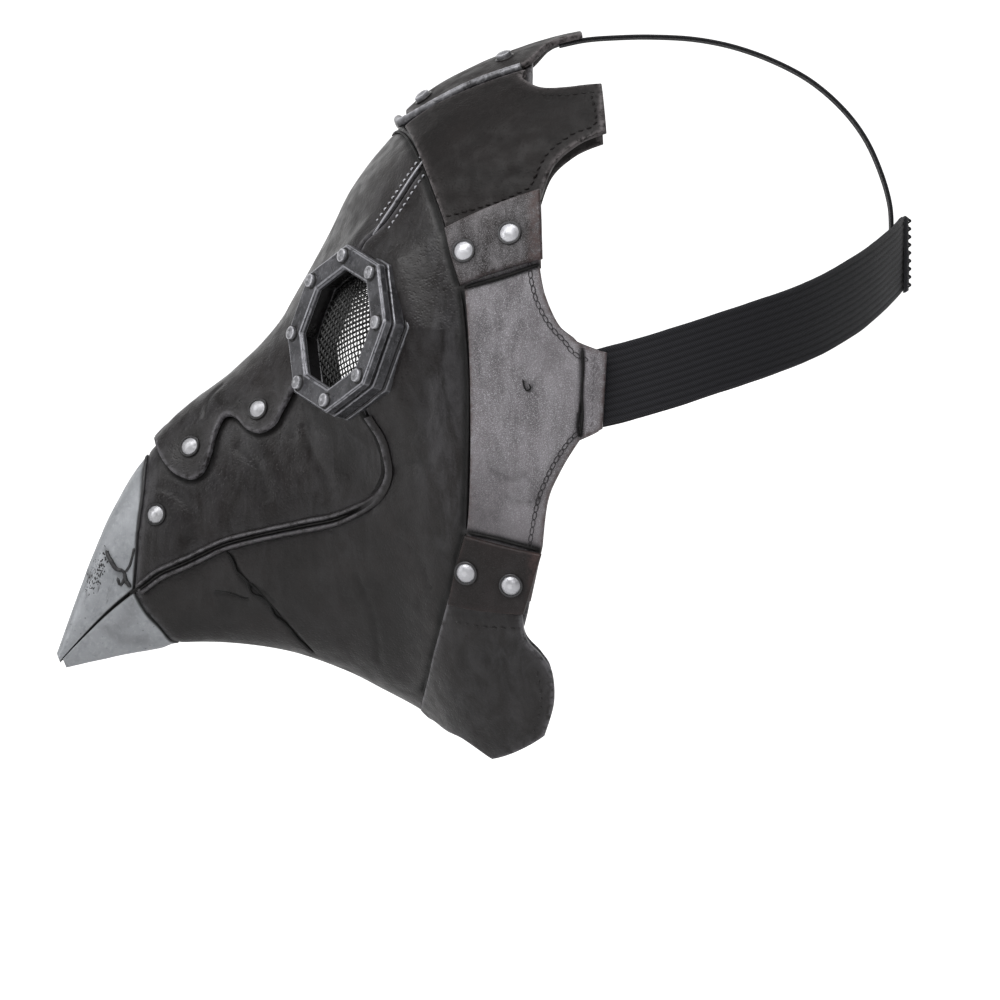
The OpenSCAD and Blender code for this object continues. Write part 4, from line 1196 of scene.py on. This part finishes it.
def make_tip(name, join, rows, half, start):
    """A solid cap from the point of the beak to its join, with a flange that goes into the beak."""
    upper = name == "beak_tip_upper"
    j = np.linspace(-1, 1, 2 * half + 1)
    e = along(join, np.abs(j) if upper else 1 - np.abs(j))
    near = np.array([0.0, 0.25, 0.6, 1.1]) / TIP_LENGTH
    f = np.concatenate([np.linspace(0, 1, rows)[:-2], 1 - near[::-1]])
    if upper:
        angle = (e[:, 1] - RIDGE_GAP) * 0.992 * np.sign(j)
    else:
        angle = 180 - (180 - e[:, 1]) * 0.99 * np.sign(j)
    t = start + (e[:, 0] - 0.02 - start)[None] * f[:, None]
    q = np.stack([t, np.broadcast_to(angle, t.shape)], -1)
    base, normal = skin(q), outward(q)
    cut, soil_and_shade = tip_damage(base)
    from_join = (1 - f)[:, None] * TIP_LENGTH
    grime = smooth(-from_join, -2.6 - 1.6 * rumple(base, 4, 29), -0.6)
    lip = np.clip(1 - (1 - np.abs(j)) * half / 2.5, 0, 1)[None]
    height = cut * (1 - np.clip(1 - t / 0.6, 0, 1)) - 0.9 * rounded(from_join) - 0.35 * lip**2
    outer = base + height[..., None] * normal
    share = np.linspace(0, 1, TIP_UNDER_POINTS + 2)[1:-1]
    under = outer[:, -1:] * (1 - share[None, :, None]) + outer[:, :1] * share[None, :, None]
    rings = np.concatenate([outer, under], 1)
    wide = outer.shape[1]
    paint = np.zeros(rings.shape)
    paint[:, :wide, 0] = np.clip(lip * 0.5 + 0.2, 0, 1)
    # Cracks, pits and grime at the join are dark; the lip along the gap between the tips is painted dark as
    # the shade in that gap.
    paint[:, :wide, 2] = np.maximum(np.maximum(soil_and_shade, grime), 0.9 * lip**3)
    # The underside, seen through the gap, is painted black as shade.
    paint[:, wide:, 2] = 0.95
    spread = np.clip(np.abs(outer[:, -1, 1] - outer[:, 0, 1]) / 12, 0, 1)[:, None]
    rings[:, wide:, 2] -= 1.6 * np.sin(np.pi * share) * spread
    behind = np.stack([e[:, 0] + 0.3, angle], -1)
    flange = rings[-1].copy()
    flange[:wide] = skin(behind) - 2.9 * outward(behind)
    flange[wide:] = flange[wide - 1] * (1 - share[:, None]) + flange[0] * share[:, None]
    rings = np.concatenate([rings, flange[None]])
    # The flange inside the beak is painted black as shade.
    paint = np.concatenate([paint, np.tile([[[0.0, 0.0, 1.0]]], (1, rings.shape[1], 1))])
    faces = tube_faces(len(rings), rings.shape[1])
    if np.dot(np.cross(rings[3, 1] - rings[3, 0], rings[4, 0] - rings[3, 0]), normal[3, 0]) > 0:
        faces = [face[::-1] for face in faces]
    parts = Parts()
    parts.add(rings, faces, paint.reshape(-1, 3))
    parts.make(name + "_look", SILVER_TIP, "silver_tip", [name], crease=50)


def make_rivets():
    for label, side in SIDES:
        parts = Parts()
        for k, q in enumerate(KEEPER_RIVETS):
            # The lower keeper's rivet heads are painted darker.
            head_darkening = 0.0 if k < 2 else 0.22
            fastener(parts, raised(q, KEEPER_HI - RIVET_SUNK), outward(q), d=7.0, h=1.75, depth=6.5,
                     shank=3.0, seed=k + 3, head_darkening=head_darkening)
        parts.make("keeper_rivets_look_" + label, RIVET, "rivet_metal", ["keeper_rivets_" + label], side)
        parts = Parts()
        for k, q in enumerate(BEAK_RIVETS):
            seat = (OVERLAY_HI if k < 2 else 0.0) - RIVET_SUNK
            fastener(parts, raised(q, seat), outward(q), d=6.4, h=1.6, depth=seat + 2.9, shank=3.0,
                     seed=k + 9)
        parts.make("beak_rivets_look_" + label, BEAK_RIVET, "bolt_metal", ["beak_rivets_" + label], side)
    parts = Parts()
    for k, (t, a) in enumerate(CROWN_BOLTS):
        for s in (-1, 1):
            q = np.array([t, s * a])
            fastener(parts, raised(q, OVERLAY_HI - 0.2), outward(q), d=5.6, h=2.5, depth=5.0, shank=2.0,
                     seed=k + 15, flat=True, ring_at=0.2)
    parts.make("crown_bolts_look", BOLT, "bolt_metal", ["crown_bolts"])


# ---- Stitching ----------------------------------------------------------------------------
# Black slits and cracks, and black lines painted as shadow at the foot of the overlays' front and keeper
# edges: side-view route, height over the skin, radius.
CREASES_AND_SHADOW_LINES = [
    ([[-112, -51.5], [-109, -56], [-107.4, -60], [-104, -63.2], [-102.2, -67.6], [-97, -70.4],
      [-94.4, -75.2], [-90, -79], [-86, -84], [-81, -88.5]], -0.35, 0.62),
    ([[-116, -66.4], [-110, -67.4], [-105, -69.4], [-101, -68.2]], -0.35, 0.36),
    ([[-104.5, -62.8], [-100.2, -66.4], [-95.6, -71.4], [-92.2, -75.8]], -0.35, 0.40),
    ([[-29.3, 37.4], [-27.5, 20], [-26.5, 0], [-26.9, -25], [-27.4, -45]], 0.15, 0.62),
    ([[-32.6, -70.5], [-37.9, -87], [-42.4, -102.5]], 0.15, 0.62),
    ([[-34.3, 56.6], [-32.3, 48], [-29.4, 38.4]], 0.15, 0.62),
    ([[-27.6, -46.5], [-30.6, -58], [-32.8, -69.4]], 0.15, 0.62),
    ([[-54.6, 101.5], [-42, 79], [-34.2, 57.2]], 0.10, 0.50),
    ([[-27.4, 37.4], [-15, 41.0], [-1.7, 45.4]], OVERLAY_HI + 0.05, 0.60),
    ([[-26, -45.8], [-15, -48.3], [-1.6, -52.0]], OVERLAY_HI + 0.05, 0.60),
    ([[-31.4, -70.4], [-19, -72.3], [-8, -73.8]], OVERLAY_HI + 0.05, 0.50),
    ([[12.6, 17.2], [12.9, 9], [12.4, 2], [12.7, -6], [11.8, -13.2]], OVERLAY_HI, 0.42),
    ([[12.4, 1], [11.4, -6], [11.0, -10], [11.5, -13.2]], OVERLAY_HI, 0.34),
    ([[-7.6, 6.6], [-6.9, 3.4], [-5.8, 2.6], [-4.9, 3.6], [-5.6, 5.0]], OVERLAY_HI, 0.28),
]

# The sewn seams are closed behind by a thread: fan routes and radii.
SEAM_FILLING = [
    (BROW, 0.95),
    (fan([[-62.2, -0.5], [-61.2, -4.6], [-59.4, -9], [-57, -18], [-56.4, -26], [-60, -33.5]]), 1.5),
    (np.array([[CHIN_OPEN, 180.0], [7, 180.0], [5, 180.0], [3.2, 180.0]]), 0.9),
    (fan([[-145, -67.6], [-142.5, -66.4], [-139.5, -65]]), 1.1),
    (np.array([[3.1, 0.0], [4, 0.0], [5, 0.0], [6.8, 0.0]]), 0.9)]
# Cracks in the silver tips: side-view route and radius.
TIP_CRACKS = [
    ([[-153.6, -52.5], [-152.3, -55.3], [-150, -58.9], [-147.3, -60], [-146.3, -63.4],
      [-144.6, -65.6]], 0.75),
    ([[-143.4, -51.5], [-144.2, -55], [-145.2, -58.2], [-147, -60.6]], 0.625),
    ([[-149.5, -62], [-148.4, -64.8], [-147, -62.5], [-146.6, -61]], 0.5625)]
ON_OVERLAY = OVERLAY_HI + 0.12
# Chain stitches on the side panel, then rows of stitches: piece, side-view route and pitch.
CHAINS = [[[-5.2, 46], [-4.6, 40], [-2.4, 32], [2.2, 24], [8.2, 17], [12.0, 14.2]],
          [[11.2, -11.6], [7.5, -15.6], [2.4, -23.6], [-2.1, -34], [-4.4, -45], [-5, -49]]]
STITCH_ROWS = [("temple", [[0, 103.4], [8, 103.2], [16.2, 104.2]], 3.0),
               ("temple", [[16.2, 102.4], [17.2, 93.4], [9.4, 89.6], [1, 83], [-4.2, 73]], 3.0),
               ("temple", [[-32.6, 62], [-24, 64.2], [-14, 67.4], [-6, 71]], 3.0),
               ("side", [[16.4, 13.6], [16.0, 2], [15.6, -8.6]], 2.8),
               ("flap", [[-29, -76.4], [-20, -78], [-11, -78.4]], 3.2),
               ("flap", [[-2.6, -94], [-1.2, -104], [-3.6, -113.5]], 3.2)]
STITCH_LOOKS = {"brow": (PIPING, "piping"), "temple": (CROWN_LEATHER, "crown_leather"),
                "side": (SIDE_LEATHER, "side_leather"), "flap": (FACE_LEATHER, "face_leather"),
                "creases": (FACE_LEATHER, "face_leather"), "tip": (SILVER_TIP, "silver_tip")}
PITS, PIT_MIDDLE = 90, np.array([-156.8, -60.5])


def add_pits(parts):
    """Small pits in a leaning oval cluster, each a short slanted bead."""
    for k in range(PITS):
        reach = math.sqrt(k / PITS) * (0.55 + 0.6 * (k * 0.414 % 1))
        across, down = 3.0 * math.sin(2.4 * k) * reach, 8.6 * math.cos(2.4 * k) * reach
        pit = PIT_MIDDLE + [across + 0.34 * down, down]
        tail = [0.9 * (k * 0.732 % 1) - 0.4, 0.25 + 0.5 * (k * 0.291 % 1)]
        bead(parts, fan([pit, pit + tail]), -0.08, 0.12 + 0.26 * (k * 0.618 % 1) ** 2, blunt=1.0)


def make_stitches():
    for label, side in SIDES:
        groups = {key: Parts() for key in STITCH_LOOKS}
        # Black slits, cracks, and painted shadow lines at the foot of the overlays' edges.
        for route, height, radius in CREASES_AND_SHADOW_LINES:
            bead(groups["creases"], fan(route), height, radius)
        # A raised cord along the brow seam, painted bright as a highlight.
        bead(groups["brow"], BROW, 1.15, 0.42, paint=(0.9, 1.0, 0.0))
        for step in ([-2.0, 1.3], [2.0, -1.3]):
            stitch_row(groups["brow"], fan(np.array(BROW_SEAM) + step), 0.3, pitch=2.4, length=1.5, width=0.7,
                       tilt=6, lit=1.0)
        for route in CHAINS:
            chain_row(groups["side"], fan(route), OVERLAY_HI)
        for key, route, pitch in STITCH_ROWS:
            stitch_row(groups[key], fan(route), ON_OVERLAY, pitch)
        for route, radius in SEAM_FILLING:
            bead(groups["creases"], route, -1.2, radius, blunt=1.0, swollen=True)
        for route, radius in TIP_CRACKS:
            bead(groups["tip"], fan(route), -0.15, radius)
        bead(groups["tip"], UPPER_JOIN[:3] - [0.03, 0], -0.15, 0.62)
        add_pits(groups["tip"])
        for key, (material, slot) in STITCH_LOOKS.items():
            groups[key].make("stitches_" + key + "_" + label, material, slot, (), side, crease=60)


# ---- Elastic harness ----------------------------------------------------------------------
BAND_ROUTE = [[3, -76.7, 1], [12, -77.5, 2.5], [22, -78.1, 4.5], [40, -78.7, 9.5], [57, -77, 15],
              [75, -71, 21], [91, -60, 27], [104, -46, 34], [114, -31, 41], [121.5, -15, 47.5],
              [124.4, -6, 50.6], [124.8, -2.4, 51]]
STRAP_ROUTE = [[5, 0, 124], [14, 0, 125.9], [24, 0, 126.7], [37, 0, 127], [52, 0, 126.2], [66, 0, 123.5],
               [80, 0, 118.5], [93, 0, 111.5], [104, 0, 102], [112, 0, 91.5], [117.5, 0, 79.5],
               [120.7, 0, 68], [121.2, 0, 58]]
HEAD_MIDDLE = np.array([38, 0, 30])


def webbing(name, route, width, thick, lean, ribs, stands_for, side, seed):
    """Ribbed elastic along a route: lengthwise ribs and rolled edges of slightly uneven width."""
    fine = along(route, np.linspace(0, 1, 600))
    s = np.concatenate([[0], np.cumsum(np.linalg.norm(np.diff(fine, axis=0), axis=1))])
    place = np.linspace(0, s[-1], int(s[-1] / 1.3))
    u = np.interp(place, s, np.linspace(0, 1, 600))
    c = along(route, u)
    ahead = unit(along(route, np.minimum(u + 0.01, 1)) - along(route, np.maximum(u - 0.01, 0)))
    flat_way = unit(np.cross(ahead, (c - HEAD_MIDDLE) * lean))
    face = unit(np.cross(flat_way, ahead))
    across = np.linspace(-1, 1, 5 * ribs + 1)
    rib = np.abs(np.sin(np.pi * (across + 1) / 2 * ribs)) ** 0.6
    rim = np.sqrt(np.clip(1 - np.clip((np.abs(across) - 0.97) / 0.03, 0, 1) ** 2, 0.05, 1))
    half = width / 2 + 0.2 * rumple(np.stack([place, place * 0, place * 0 + 5 + seed], 1), 11, seed + 1)
    aside = flat_way[:, None] * (across * half[:, None])[..., None]
    above = face[:, None] * ((thick / 2 - 0.28 + 0.28 * rib) * rim)[:, None]
    outer, inner = c[:, None] + aside + above, c[:, None] + aside - above
    rings = np.concatenate([outer, inner[:, ::-1]], 1)
    paint = np.zeros(rings.shape)
    # Painted shade between the ribs.
    paint[..., 0] = np.concatenate([1 - rib, 1 - rib])
    parts = Parts()
    parts.add(*loft(rings), paint=paint.reshape(-1, 3))
    return parts.make(name, ELASTIC, "elastic", stands_for, side, body=None, crease=70)


def make_harness():
    for label, side in SIDES:
        band = webbing("head_band_look_" + label, BAND_ROUTE, width=26, thick=1.5, lean=[1, 1, 0], ribs=12,
                       stands_for=["head_band_" + label], side=side, seed=3)
        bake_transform(band)
    strap = webbing("top_strap_look", STRAP_ROUTE, width=20, thick=1.2, lean=[1, 0, 1], ribs=9,
                    stands_for=["top_strap"], side=1.0, seed=8)
    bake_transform(strap)


# The sewn block at the back: outer and inner face, middle height, half width and half height.
BLOCK_OUT, BLOCK_IN, BLOCK_Z = 127.35, 126.1, 51
BLOCK_HALF_W, BLOCK_HALF_H = 7, 13.4


def make_back_seam():
    rows, cols = 40, 24
    yy, zz = np.meshgrid(np.linspace(-BLOCK_HALF_W, BLOCK_HALF_W, cols),
                         np.linspace(-BLOCK_HALF_H, BLOCK_HALF_H, rows))
    weave = 0.16 * np.cos(zz * 2 * np.pi / 3.2) * np.exp(-(yy / 3.2) ** 2)
    lump = 0.22 * rumple(np.stack([yy, zz, zz * 0], -1), 4, 41) + weave
    edge = np.minimum(BLOCK_HALF_W - np.abs(yy), BLOCK_HALF_H - np.abs(zz))
    fall = 1.1 * (1 - np.sqrt(1 - (1 - np.clip(edge / 1.2, 0, 1)) ** 2))
    bow = 0.012 * yy**2
    outer = np.stack([BLOCK_OUT + lump - fall - bow, yy, BLOCK_Z + zz], -1)
    inner = np.stack([BLOCK_IN - bow, yy, BLOCK_Z + zz], -1)
    n = rows * cols
    index = np.arange(n).reshape(rows, cols)
    quads = np.stack([index[:-1, :-1], index[:-1, 1:], index[1:, 1:], index[1:, :-1]], -1).reshape(-1, 4)
    faces = quads.tolist() + (quads[:, ::-1] + n).tolist()
    rim = list(index[0]) + list(index[1:, -1]) + list(index[-1, -2::-1]) + list(index[-2:0:-1, 0])
    faces += [[a + n, b + n, b, a] for a, b in zip(rim, rim[1:] + rim[:1])]
    parts = Parts()
    parts.add(np.vstack([outer.reshape(-1, 3), inner.reshape(-1, 3)]), faces)
    for row in (-4.6, 4.6):
        for k in range(9):
            z = BLOCK_Z - 11.5 + k * 2.8
            arch = np.array([[127.0, row - 1.0, z], [127.9, row, z + 0.7], [127.0, row + 1.0, z + 1.4]])
            line = along(arch, np.linspace(0, 1, 6))
            ahead = unit(np.gradient(line, axis=0))
            sideways = unit(np.cross(ahead, [1.0, 0, 0]))
            parts.add(*loft(tube(line, 0.32, sideways, np.cross(sideways, ahead), 6)))
    parts.make("back_seam_look", ELASTIC, "elastic", ["back_seam"], body="harness_back", crease=70)


make_forehead()
make_side_pieces()
make_crown()
make_crown_piping()
make_tip("beak_tip_upper", UPPER_JOIN, rows=64, half=46, start=0.02)
make_tip("beak_tip_lower", LOWER_JOIN, rows=44, half=30, start=0.12)
make_eyes()
make_rivets()
make_stitches()
make_harness()
make_back_seam()

bpy.context.view_layer.update()
